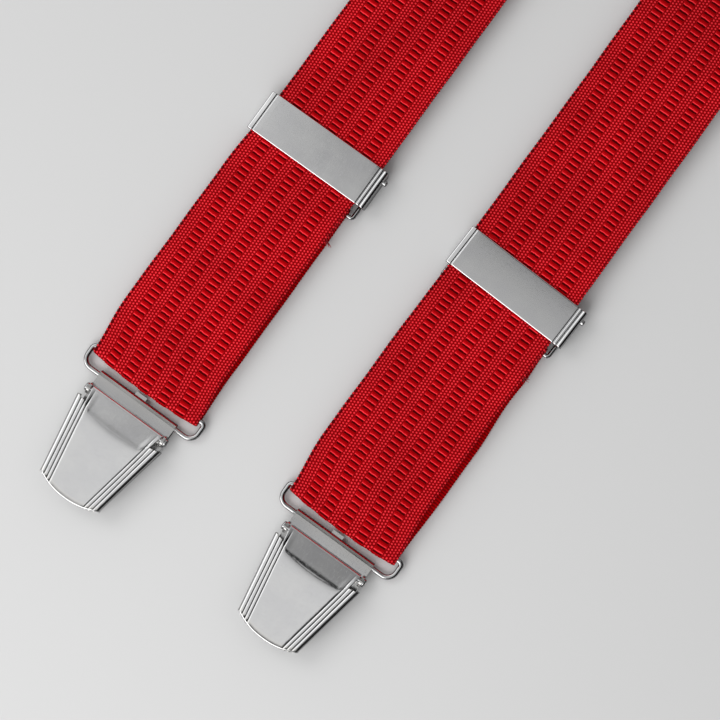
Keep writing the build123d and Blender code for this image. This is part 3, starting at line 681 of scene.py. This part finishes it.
def lever_columns():
    """The columns of the lever's mesh from left to right, as (style, value, side)."""
    steps = (-0.3, -0.2, -0.1, 0, 0.1, 0.2, 0.3)
    insets = sorted(set(np.round([1.3, PANEL_INSET] + [groove + d for groove in GROOVES for d in steps], 3)))
    halves = []
    for sign in (-1, 1):
        half = [("flange", drop, sign) for drop in (1.0, 0.75, 0.5, 0.25, 0.0)]
        half += [("rim", math.radians(angle), sign) for angle in np.linspace(90, 0, 6)[:-1]]
        half += [("flat", inset, sign) for inset in insets]
        halves.append(half)
    middle = [("middle", share, 1) for share in np.linspace(-1, 1, 25)[1:-1]]
    return halves[0] + middle + halves[1][::-1]


def lever_rows():
    """The rows of the lever's mesh: the tip, its roll and the flat, then the tongue and its curl."""
    skin = [("tip", t) for t in (1.0, 0.6, 0.0)]
    skin += [("roll", math.radians(angle)) for angle in (15, 35, 55, 75, 90)]
    skin += [("flat", t) for t in list(np.linspace(0, 0.92, 26)) + [0.945, 0.965, 0.98, 0.99, 1.0]]
    tongue = [("tongue", t) for t in (0.03, 0.07, 0.12, 0.2, 0.32, 0.5, 0.75, 1.0)]
    tongue += [("curl", angle) for angle in np.radians(np.linspace(10, 250, 20))]
    return skin, tongue


def lever_cover(name):
    """Mesh of one clip's lever cover in the clip's own frame."""
    columns = lever_columns()
    skin, tongue = lever_rows()
    rows = skin + tongue
    points = [lever_point(kind, t, *column) for kind, t in rows for column in columns]
    carried = {k for k, (style, value, sign) in enumerate(columns) if tongue_column(style, value)}
    faces = sheet_faces(len(rows), len(columns), lambda i, j: i < len(skin) - 1 or {j, j + 1} <= carried)
    used = sorted({k for face in faces for k in face})
    renumber = {k: i for i, k in enumerate(used)}
    faces = [[renumber[k] for k in face] for face in faces]
    return thicken(mesh_object(name, np.array([points[k] for k in used]), faces))


def tongue_column(style, value):
    """True for the columns that carry on into the tongue."""
    return style == "middle" or (style == "flat" and value >= NOTCH_INSET - 0.01)


def lever_column(y, style, value, sign):
    """Across position, outward reach and drop of one column of the lever at a height y."""
    half = lever_half(y)
    reach, drop = Lever.edge, Lever.edge_drop
    if style == "middle":
        return value * (half - PANEL_INSET), 0.0, 0.0
    if style == "flat":
        return sign * (half - value), 0.0, 0.0
    if style == "rim":
        return sign * (half - reach), reach * math.sin(value), drop * (1 - math.cos(value))
    low = Lever.flange_tip + (Lever.flange_top - Lever.flange_tip) * wing_share(y)
    return sign * (half - reach), reach, drop + value * (Lever.top - drop - low)


def bend_drop(ahead):
    """How far the soft bend has fallen at a distance past the bend line."""
    return Lever.slope * (math.hypot(ahead, Lever.bend_soft) + ahead) / 2


def lever_point(kind, t, style, value, sign):
    """One point of the lever's outer skin."""
    level = Lever.corner_y
    if kind == "flat":
        level += t * (Lever.shoulder_y - Lever.corner_y)
    if kind in ("tongue", "curl"):
        level = Lever.notch_y
    x, reach, drop = lever_column(level, style, value, sign)
    outer = x + sign * reach
    low_y = lever_bottom_edge(outer)
    high_y = Lever.shoulder_y if style in ("flange", "rim") else lever_top_edge(x)
    crown = Lever.crown * (x / Lever.shoulder) ** 2
    groove = groove_depth(lever_half(level) - abs(x)) if style in ("flat", "middle") else 0.0
    if kind in ("tongue", "curl"):
        return tongue_point(kind, t, x, high_y, crown, groove)
    z = Lever.top - drop - crown
    roll = Lever.roll
    if kind == "roll":
        return [outer, low_y + roll * (1 - math.cos(t)), z - roll * (1 - math.sin(t))]
    if kind == "tip":
        rim_z = Lever.top - roll - crown
        return [outer, low_y, min(z, rim_z - t * 0.7 * (rim_z - Lever.flange_tip))]
    y = low_y + roll + t * (high_y - low_y - roll)
    bend = bend_drop(y - high_y) if tongue_column(style, value) else 0.0
    return [outer, y, z - groove - bend]


def tongue_point(kind, t, x, high_y, crown, groove):
    """One point of the tongue, which runs down from the bend and curls round the pin."""
    lean = math.atan(Lever.slope)
    curl = Lever.curl
    share = t if kind == "tongue" else 1
    wide = x * (1 + (Lever.tongue / NOTCH_HALF - 1) * share)
    if kind == "curl":
        angle = math.radians(90) - lean - t
        return [wide, Lever.pin_y + curl * math.cos(angle), Lever.pin_z + curl * math.sin(angle)]
    end_y = Lever.pin_y + curl * math.sin(lean)
    end_z = Lever.pin_z + curl * math.cos(lean)
    y = high_y + t * (end_y - high_y)
    straight = Lever.top - crown + t * (end_z - Lever.top + crown)
    soft = bend_drop(high_y - y) if t < 1 else 0.0
    swell = Lever.tongue_crown * (1 - (x / NOTCH_HALF) ** 2) * t * (1 - t)
    return [wide, y, straight + swell - soft - groove * (1 - t)]


def clip_place(end, side):
    """Matrix that carries the clip's own frame to its place."""
    if end == "front":
        return Matrix.Translation(Vector((STRAP_X[side], FOLD_Y[side], 0)) * MM)
    turn = Matrix.Rotation(math.radians(180 - SIGN[side] * REAR_ANGLE), 4, "Z")
    over = Matrix.Rotation(math.radians(180), 4, "X")
    lift = Matrix.Translation(Vector((0, REAR_RUN, Lever.top)) * MM)
    return Matrix.Translation(Vector((*rear_start(side), 0)) * MM) @ turn @ lift @ over


def build_levers(material):
    """A lever cover for each of the four clips."""
    for end in ("front", "rear"):
        for side in SIDES:
            obj = lever_cover(f"{end}_{side}_clip_cover_plate")
            obj.data.transform(clip_place(end, side))
            dress(obj, material)
            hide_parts(f"{end}_{side}_clip_lever")
            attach(obj, f"{end}_{side}_clip_cover")


# ==== Adjuster plates ====
# Values in pairs belong to the plate's left (-1) and right (1) end.
PLATE_RIM = {-1: 0.45, 1: 1.0}
PLATE_GROOVES = {-1: (1.6,), 1: (2.7, 1.55)}
PLATE_GROOVE_DEPTH = 0.28
PLATE_GROOVE_WIDTH = 0.19
PLATE_BAND = PLATE_GROOVES[-1][0] - PLATE_RIM[-1]
PLATE_TILT = 0.30
PLATE_ROLL = 0.28
PLATE_ROLL_DROP = 1.1 * PLATE_ROLL
PLATE_CROWN = 0.05
EAR_PULL = 0.9
EAR_PULL_LOW = 0.6


def plate_columns(half):
    """The columns of the plate's mesh from its left ear to its right ear, as (style, value, end)."""
    steps = (-0.4, -0.3, -0.2, -0.1, 0, 0.1, 0.2, 0.3, 0.4)
    even = np.linspace(-half + PLATE_RIM[-1], half - PLATE_RIM[1], 25)
    pressed = [end * (half - groove + d) for end in (-1, 1) for groove in PLATE_GROOVES[end] for d in steps]
    across = sorted(set(np.round(np.concatenate([even, pressed]), 3)))
    ends = {}
    for end in (-1, 1):
        ends[end] = [("rim", angle, end) for angle in np.radians((0, 15, 35, 55, 75))]
        ends[end] += [("ear", drop, end) for drop in np.linspace(0, 1, 6)]
    return ends[-1][::-1] + [("flat", x, 0) for x in across[1:-1]] + ends[1]


def plate_profile(style, value, end, half, ear_z, top):
    """Across position and height of one column of the plate."""
    tilt = PLATE_TILT * PLATE_BAND
    if style == "flat":
        grooves = PLATE_GROOVES[1 if value > 0 else -1]
        depth = sum(math.exp(-((abs(value) - half + groove) / PLATE_GROOVE_WIDTH) ** 2) for groove in grooves)
        lean = tilt * min(1, max(0, (PLATE_GROOVES[-1][0] - value - half) / PLATE_BAND))
        return value, top - PLATE_GROOVE_DEPTH * depth - PLATE_CROWN * (value / half) ** 2 - lean
    rim = PLATE_RIM[end]
    tilted = tilt if end < 0 else 0.0
    if style == "rim":
        return end * (half - rim + rim * math.sin(value)), top - rim * (1 - math.cos(value)) - tilted
    return end * half, top - rim - value * (top - rim - ear_z) - tilted * (1 - value)


def adjuster_cover(side, material):
    """The folded plate of one strap adjuster, in place."""
    low, high = box_mm("left_adjuster_cover")
    half, height = (high[0] - low[0]) / 2, high[1] - low[1]
    columns = plate_columns(half)
    rows = [("low", angle) for angle in np.radians((90, 70, 50, 30, 12))]
    rows += [("mid", t) for t in [0, 0.012, 0.04] + list(np.linspace(0.1, 0.9, 9)) + [0.96, 0.988, 1]]
    rows += [("high", angle) for angle in np.radians((12, 30, 50, 70, 90))]
    points = []
    for kind, t in rows:
        for style, value, end in columns:
            x, z = plate_profile(style, value, end, half, low[2], high[2])
            pull = EAR_PULL * value ** 2 if style == "ear" else 0.0
            low_y, high_y = pull * EAR_PULL_LOW, height - pull
            if kind == "mid":
                y = low_y + PLATE_ROLL + t * (high_y - low_y - 2 * PLATE_ROLL)
                z -= PLATE_CROWN * (2 * t - 1) ** 2 * (style == "flat")
            else:
                inward = PLATE_ROLL * (1 - math.sin(t))
                y = low_y + inward if kind == "low" else high_y - inward
                z -= PLATE_CROWN * (style == "flat") + PLATE_ROLL_DROP * (1 - math.cos(t)) * (style != "ear")
            points.append([x, y, z])
    faces = sheet_faces(len(rows), len(columns))
    obj = thicken(mesh_object(f"{side}_adjuster_plate", np.array(points), faces))
    centre = sum(box_mm(f"{side}_adjuster_cover")) / 2
    skew = Matrix.Rotation(math.radians(ADJUSTER_SKEW[side]), 4, "Z")
    move = Matrix.Translation(Vector((centre[0] * MM, centre[1] * MM, 0)))
    obj.data.transform(move @ skew @ Matrix.Translation(Vector((0, -height / 2 * MM, 0))))
    dress(obj, material)
    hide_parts(f"{side}_adjuster_cover")
    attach(obj, f"{side}_adjuster")


# ==== Leather patch ====
def build_patch(material):
    """The leather patch with a softened edge, in place of the plain plate."""
    obj = add_object("back_patch_leather", frame["nodes"]["back_patch"].data.copy())
    weld = obj.modifiers.new("weld", "WELD")
    weld.merge_threshold = 0.01 * MM
    round_edges(obj, width=0.4, segments=3, angle=40)
    apply_modifiers(obj)
    smooth(obj, 50)
    dress(obj, material)
    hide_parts("back_patch")
    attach(obj, "strap_set")


# ==== Materials ====
class Graph:
    """Short names for building the node tree of a material or a world."""

    def __init__(self, owner):
        owner.use_nodes = True
        self.owner = owner
        self.tree = owner.node_tree
        self.tree.nodes.clear()

    def add(self, kind):
        return self.tree.nodes.new(kind)

    def link(self, source, target):
        self.tree.links.new(source, target)

    def feed(self, socket, value):
        """Links a socket to another one, or gives it a plain value."""
        if isinstance(value, bpy.types.NodeSocket):
            self.link(value, socket)
        elif value is not None:
            socket.default_value = value

    def math(self, operation, a, b=None):
        node = self.add("ShaderNodeMath")
        node.operation = operation
        for socket, value in zip(node.inputs, (a, b)):
            self.feed(socket, value)
        return node.outputs[0]

    def product(self, *factors):
        """Multiplies any number of values."""
        total = factors[0]
        for factor in factors[1:]:
            total = self.math("MULTIPLY", total, factor)
        return total

    def ramp(self, value, low, high, to_low=0.0, to_high=1.0):
        """Smoothly maps low..high to to_low..to_high."""
        node = self.add("ShaderNodeMapRange")
        node.interpolation_type = "SMOOTHSTEP"
        for socket, item in zip(node.inputs, (value, low, high, to_low, to_high)):
            self.feed(socket, item)
        return node.outputs[0]

    def pulse(self, value, rise, fade):
        """1 between two spans, rising over the first and falling over the second."""
        return self.product(self.ramp(value, *rise), self.ramp(value, *fade, 1, 0))

    def mix(self, share, a, b, blend="MIX"):
        node = self.add("ShaderNodeMix")
        node.data_type = "RGBA"
        node.blend_type = blend
        self.feed(node.inputs[0], share)
        self.feed(node.inputs[6], a)
        self.feed(node.inputs[7], b)
        return node.outputs[2]

    def grey(self, value):
        """A grey colour from a number."""
        node = self.add("ShaderNodeCombineColor")
        for socket in node.inputs:
            self.link(value, socket)
        return node.outputs[0]

    def split(self, vector):
        """The x, y and z of a vector."""
        node = self.add("ShaderNodeSeparateXYZ")
        self.link(vector, node.inputs[0])
        return node.outputs

    def noise(self, vector, scale, detail=3.0, stretch=(1, 1, 1)):
        mapping = self.add("ShaderNodeMapping")
        mapping.inputs["Scale"].default_value = stretch
        self.link(vector, mapping.inputs[0])
        node = self.add("ShaderNodeTexNoise")
        node.inputs["Scale"].default_value = scale
        node.inputs["Detail"].default_value = detail
        self.link(mapping.outputs[0], node.inputs["Vector"])
        return node.outputs[0]


class Surface(Graph):
    """The node tree of a new material, with its shader in place."""

    def __init__(self, name):
        super().__init__(bpy.data.materials.new(name))
        output = self.add("ShaderNodeOutputMaterial")
        self.shader = self.add("ShaderNodeBsdfPrincipled")
        self.link(self.shader.outputs[0], output.inputs[0])

    def set(self, name, value):
        self.feed(self.shader.inputs[name], value)

    def bump(self, height, strength, distance):
        node = self.add("ShaderNodeBump")
        node.inputs["Strength"].default_value = strength
        node.inputs["Distance"].default_value = distance
        self.link(height, node.inputs["Height"])
        self.set("Normal", node.outputs[0])

    def place(self):
        """The object's own coordinates, in metres."""
        return self.add("ShaderNodeTexCoord").outputs["Object"]


# The darkest red is painted shade for the slots and the gaps between the edge's loops. The brightest red also
# serves as painted highlight on the ribs' cross thread and on the dots.
WEB_PAINTED_SHADE = (0.020, 0.0, 0.0006, 1)
WEB_DARK = (0.19, 0.0, 0.0012, 1)
WEB_MID = (0.46, 0.0, 0.002, 1)
WEB_BRIGHT = (0.96, 0.042, 0.058, 1)
THREAD_RED = (0.42, 0.003, 0.010, 1)
THREAD_BROWN = (0.10, 0.075, 0.06, 1)
LEATHER_DARK = (0.016, 0.011, 0.010, 1)
LEATHER_LIGHT = (0.042, 0.028, 0.024, 1)


def ladder_pattern(g, across, phase):
    """Shares of rib, slot and cross thread at a place on the webbing; the slot share carries painted shade
    and the cross thread share a painted highlight.
    """
    outermost = RIB_COLUMNS // 2
    column = g.math("ROUND", g.math("DIVIDE", across, RIB_STEP))
    column = g.math("MAXIMUM", g.math("MINIMUM", column, outermost), -outermost)
    from_rib = g.math("ABSOLUTE", g.math("SUBTRACT", across, g.product(column, RIB_STEP)))
    rib = g.ramp(from_rib, RIB_HALF - 0.12, RIB_HALF + 0.12, 1, 0)
    taper = g.ramp(from_rib, RIB_HALF * 0.75, RIB_HALF + 0.2, 1, 0.4)
    # the slot share marks painted shade under each cross thread, fading towards the rib's sides; the line
    # share marks a painted highlight along the cross thread
    slot = g.product(g.pulse(phase, (0.60, 0.68), (0.85, 0.98)), taper)
    line = g.pulse(phase, (0.44, 0.51), (0.55, 0.61))
    return rib, slot, line


def dot_pattern(g, across, phase):
    """Share of dot at a place on the webbing: staggered rows of round threads, falling off from each dot's
    crown, which the colour turns into painted highlight on the dots and painted shade between them.
    """
    band = g.math("SUBTRACT", g.math("FRACT", g.math("DIVIDE", across, RIB_STEP)), 0.5)
    cell = g.math("ADD", g.math("DIVIDE", g.product(band, RIB_STEP), DOT_STEP), 0.5)
    stagger = g.product(g.math("FLOORED_MODULO", g.math("FLOOR", cell), 2), 0.5)
    dot_v = g.math("SUBTRACT", g.math("FRACT", g.math("ADD", g.product(phase, 2), stagger)), 0.5)
    dot_u = g.math("SUBTRACT", g.math("FRACT", cell), 0.5)
    far_v, far_u = (g.math("POWER", g.math("DIVIDE", offset, 0.36), 2) for offset in (dot_v, dot_u))
    return g.ramp(g.math("ADD", far_v, far_u), 0.15, 1.3, 1, 0)


def webbing_material():
    """Red elastic webbing: five ladder columns, checkered dots between them and a looped edge."""
    g = Surface("red_webbing")
    attribute = g.add("ShaderNodeAttribute")
    attribute.attribute_name = "weave"
    from_left, along, woven = g.split(attribute.outputs["Vector"])
    across = g.math("SUBTRACT", from_left, HALF_WEB)
    pitch = g.math("DIVIDE", along, -WEAVE_PITCH)
    place = g.place()
    uneven = g.product(g.math("SUBTRACT", g.noise(place, 900), 0.5), 0.22)
    phase = g.math("FRACT", g.math("ADD", pitch, uneven))
    rib, slot, line = ladder_pattern(g, across, phase)
    dot = dot_pattern(g, across, phase)

    flat = g.add("ShaderNodeCombineXYZ")
    g.link(from_left, flat.inputs[0])
    g.link(along, flat.inputs[1])
    fibres = g.noise(flat.outputs[0], 4.0, 3.0, (2.2, 0.35, 1))
    speckle = g.noise(flat.outputs[0], 3.0, 4.0)

    # the ribs, crossed by slots with painted shade, which fades over the rib just past them, and one cross
    # thread with a painted highlight
    body = g.mix(g.ramp(fibres, 0.35, 0.65), g.mix(0.40, WEB_MID, WEB_DARK), g.mix(0.06, WEB_MID, WEB_BRIGHT))
    body = g.mix(g.ramp(phase, 0.0, 0.35), g.mix(0.75, WEB_MID, WEB_DARK), body)
    ladder = g.mix(g.product(slot, 0.92), g.mix(line, body, WEB_BRIGHT), WEB_PAINTED_SHADE)
    # the dots between them, with a painted highlight on each and painted shade around them
    dull, bright = g.mix(0.40, WEB_MID, WEB_BRIGHT), g.mix(0.95, WEB_MID, WEB_BRIGHT)
    lit = g.mix(g.ramp(speckle, 0.3, 0.7), dull, bright)
    colour = g.mix(rib, g.mix(dot, g.mix(0.12, WEB_DARK, WEB_MID), lit), ladder)
    # painted shade in the gaps between the edge's loops, darker on the left
    edge = g.ramp(g.math("ABSOLUTE", across), HALF_WEB - 1.3, HALF_WEB - 0.5)
    gaps = g.ramp(g.math("PINGPONG", pitch, 0.5), 0.12, 0.3)
    colour = g.mix(g.product(edge, gaps, g.ramp(across, -2, 2, 0.85, 0.45)), colour, WEB_PAINTED_SHADE)
    # the plain back, and a slow change of tone along the strap
    plain = g.mix(g.ramp(g.math("PINGPONG", g.product(pitch, 2), 0.5), 0.1, 0.4), WEB_DARK, WEB_MID)
    colour = g.mix(g.ramp(woven, 0.3, 0.7), plain, colour)
    shade = g.ramp(g.noise(place, 60, 4.0), 0.3, 0.7, 0.86, 1.06)
    g.set("Base Color", g.mix(1.0, colour, g.grey(shade), "MULTIPLY"))
    g.set("Roughness", g.ramp(fibres, 0.2, 0.8, 0.62, 0.82))
    g.set("Specular IOR Level", 0.03)

    rib_height = g.math("SUBTRACT", g.math("ADD", 0.75, g.product(line, 0.25)), slot)
    height = g.math("ADD", g.product(rib, rib_height), g.product(g.math("SUBTRACT", 1, rib), dot))
    g.bump(g.math("ADD", height, g.product(fibres, 0.5)), 0.8, 0.00012)
    return g.owner


def metal_material(name, tone, rough, wear, scratch, wave=0.0):
    """Plated metal: slight smudges, fine scratches, rubbed edges and a faintly uneven face."""
    g = Surface(name)
    place = g.place()
    smudge = g.noise(place, 140, 5.0)
    hair = g.noise(place, 900, 2.0, (1, 14, 1))
    cross = g.noise(place, 700, 2.0, (11, 1, 1))
    geometry = g.add("ShaderNodeNewGeometry")
    worn = g.product(g.ramp(geometry.outputs["Pointiness"], 0.52, 0.62), wear)
    dull, plain = (tone * 0.95, tone * 0.95, tone * 0.96, 1), (tone, tone, tone, 1)
    base = g.mix(g.ramp(smudge, 0.35, 0.7), dull, plain)
    g.set("Base Color", g.mix(worn, base, (tone * 1.08, tone * 1.06, tone * 1.02, 1)))
    g.set("Metallic", 1.0)
    g.set("Roughness", g.math("ADD", g.ramp(smudge, 0.3, 0.75, rough, rough * 1.9), g.product(worn, 0.12)))
    scratches = g.math("ADD", g.product(g.ramp(hair, 0.55, 0.7), 0.5), g.ramp(cross, 0.6, 0.72))
    height = g.math("ADD", g.product(scratches, scratch), g.product(smudge, scratch * 0.7))
    height = g.math("ADD", height, g.product(g.noise(place, 55, 0.0), wave * 130))
    g.bump(height, 0.35, 0.00002)
    return g.owner


def leather_material():
    """Dark grained leather."""
    g = Surface("patch_leather")
    place = g.place()
    cells = g.add("ShaderNodeTexVoronoi")
    cells.feature = "DISTANCE_TO_EDGE"
    cells.inputs["Scale"].default_value = 900
    g.link(place, cells.inputs["Vector"])
    grain = g.ramp(cells.outputs["Distance"], 0.02, 0.25)
    tone = g.noise(place, 120, 4.0)
    g.set("Base Color", g.mix(g.ramp(tone, 0.3, 0.7), LEATHER_DARK, LEATHER_LIGHT))
    g.set("Roughness", g.ramp(grain, 0, 1, 0.7, 0.45))
    g.bump(g.math("ADD", grain, g.product(tone, 0.5)), 0.5, 0.0002)
    return g.owner


def thread_material(name, colour):
    """Twisted sewing thread."""
    g = Surface(name)
    twist = g.noise(g.place(), 1500, 3.0, (1, 0.3, 1))
    dark = tuple(c * 0.45 for c in colour[:3]) + (1,)
    g.set("Base Color", g.mix(g.ramp(twist, 0.35, 0.65), dark, colour))
    g.set("Roughness", 0.6)
    g.set("Sheen Weight", 0.3)
    g.bump(twist, 0.6, 0.0001)
    return g.owner


def dress_cad(finishes):
    """Gives the CAD meshes that stay visible the material of their slot."""
    for subpart in frame["record"]["subparts"]:
        slot = subpart["material_slot"]
        if slot in finishes:
            obj = frame["nodes"][subpart["node"]]
            dress(obj, finishes[slot])
            smooth(obj, 35)


# ==== Stage: floor, surround, lights, camera ====
FLOOR_HALF = 6000.0
FLOOR_Z = -0.03
FLOOR_TONE = (0.55, 0.55, 0.55, 1)
FLOOR_MIRRORED = (0.20, 0.20, 0.20, 1)
SOFT_LEVEL = 0.50
CAMERA_PLACE = (43.2, BASE_Y + 25.2, 543.1)
CAMERA_BACK = (0.0616, -0.029, 0.9977)
CAMERA_UP = (-0.5844, 0.8093, 0.0593)


def build_floor():
    """A plain pale floor, darker where metal mirrors it."""
    g = Surface("floor")
    path = g.add("ShaderNodeLightPath")
    g.set("Base Color", g.mix(path.outputs["Is Glossy Ray"], FLOOR_TONE, FLOOR_MIRRORED))
    g.set("Roughness", 0.75)
    g.set("Specular IOR Level", 0.2)
    signs = ((-1, -1), (1, -1), (1, 1), (-1, 1))
    corners = np.array([(a * FLOOR_HALF, b * FLOOR_HALF, FLOOR_Z) for a, b in signs])
    obj = mesh_object("floor", corners, [[0, 1, 2, 3]])
    obj.data.materials.append(g.owner)


def build_world():
    """Soft studio surround: even for soft light, with bright and dark zones that only metal mirrors."""
    world = bpy.data.worlds.new("studio")
    bpy.context.scene.world = world
    g = Graph(world)
    output = g.add("ShaderNodeOutputWorld")
    background = g.add("ShaderNodeBackground")
    g.link(background.outputs[0], output.inputs[0])
    x, y, z = g.split(g.add("ShaderNodeTexCoord").outputs["Generated"])
    # overhead, a step down from the clips' side to the shoulders' side
    level = g.ramp(y, -0.10, 0.12, 0.70, 0.41)
    # a dark strip for the covers' tongues, faint on the left
    strip = g.product(g.pulse(y, (0.12, 0.20), (0.30, 0.40)), g.ramp(x, -0.12, -0.04, 0.12, 0.95))
    level = g.product(level, g.math("SUBTRACT", 1.0, strip))
    # darker towards the horizon
    level = g.product(level, g.ramp(z, 0.45, 0.80, 0.20, 1.0))
    zones = (
        # bright windows beyond the clips, beyond the shoulders and to the left
        g.ramp(y, -0.75, -0.5, 2.2, 0.0),
        g.ramp(y, 0.70, 0.85, 0.0, 0.35),
        g.product(g.ramp(x, -0.75, -0.38, 0.9, 0.0), g.ramp(z, 0.1, 0.3)),
        # fine shading across the clips' covers and tongues
        g.product(g.ramp(y, 0.3, 0.45), g.ramp(x, -0.22, 0.06, 0.06, -0.19)),
        g.product(g.ramp(x, -0.185, -0.145, 0.20, 0.0), g.ramp(y, 0.02, 0.08)),
    )
    for zone in zones:
        level = g.math("ADD", level, zone)
    # nearly black to the right
    level = g.product(level, g.ramp(x, 0.17, 0.36, 1.0, 0.05))
    is_soft = g.add("ShaderNodeLightPath").outputs["Is Diffuse Ray"]
    mirrored = g.product(g.math("SUBTRACT", 1.0, is_soft), level)
    total = g.math("ADD", g.product(is_soft, SOFT_LEVEL), mirrored)
    g.link(g.grey(total), background.inputs[0])


def area_light(name, place, target, size, power):
    """A square soft light aimed at a point; places and size in millimetres."""
    data = bpy.data.lights.new(name, "AREA")
    data.size = size * MM
    data.energy = power
    obj = add_object(name, data)
    obj.location = Vector(place) * MM
    obj.rotation_euler = (Vector(target) - Vector(place)).to_track_quat("-Z", "Y").to_euler()
    obj.visible_glossy = False


def build_camera():
    """A view nearly straight down on the front clips and adjusters, straps running up to the right."""
    data = bpy.data.cameras.new("camera")
    data.lens = 100
    data.sensor_width = 36
    obj = add_object("camera", data)
    back = Vector(CAMERA_BACK).normalized()
    up = Vector(CAMERA_UP)
    up = (up - back * up.dot(back)).normalized()
    turn = Matrix((up.cross(back), up, back)).transposed().to_4x4()
    obj.matrix_world = Matrix.Translation(Vector(CAMERA_PLACE) * MM) @ turn
    bpy.context.scene.camera = obj


# ==== Build ====
thread = thread_material("webbing_thread", THREAD_RED)
adjuster_chrome = metal_material("adjuster_chrome", tone=0.85, rough=0.07, wear=0.5, scratch=0.25)
clip_chrome = metal_material("clip_cover_chrome", tone=0.86, rough=0.05, wear=0.5, scratch=0.5)

build_webbing(webbing_material())
for side_name in SIDES:
    build_fray(side_name, thread)
build_levers(clip_chrome)
for side_name in SIDES:
    adjuster_cover(side_name, adjuster_chrome)
build_patch(leather_material())
dress_cad({
    "wire_chrome": metal_material("wire_chrome", tone=0.56, rough=0.05, wear=0.3, scratch=0.4),
    "sheet_nickel": metal_material("sheet_nickel", tone=0.58, rough=0.07, wear=0.6, scratch=0.8, wave=1.0),
    "pin_steel": metal_material("pin_steel", tone=0.55, rough=0.09, wear=0.5, scratch=0.8),
    "webbing_thread": thread,
    "patch_thread": thread_material("patch_thread", THREAD_BROWN),
})

build_floor()
build_world()
area_light("key", place=(-560, BASE_Y + 60, 640), target=(0, BASE_Y + 40, 0), size=420, power=1.8)
area_light("fill", place=(-40, BASE_Y - 400, 470), target=(20, BASE_Y + 20, 0), size=500, power=2.95)
build_camera()
bpy.context.scene.view_settings.view_transform = "Standard"
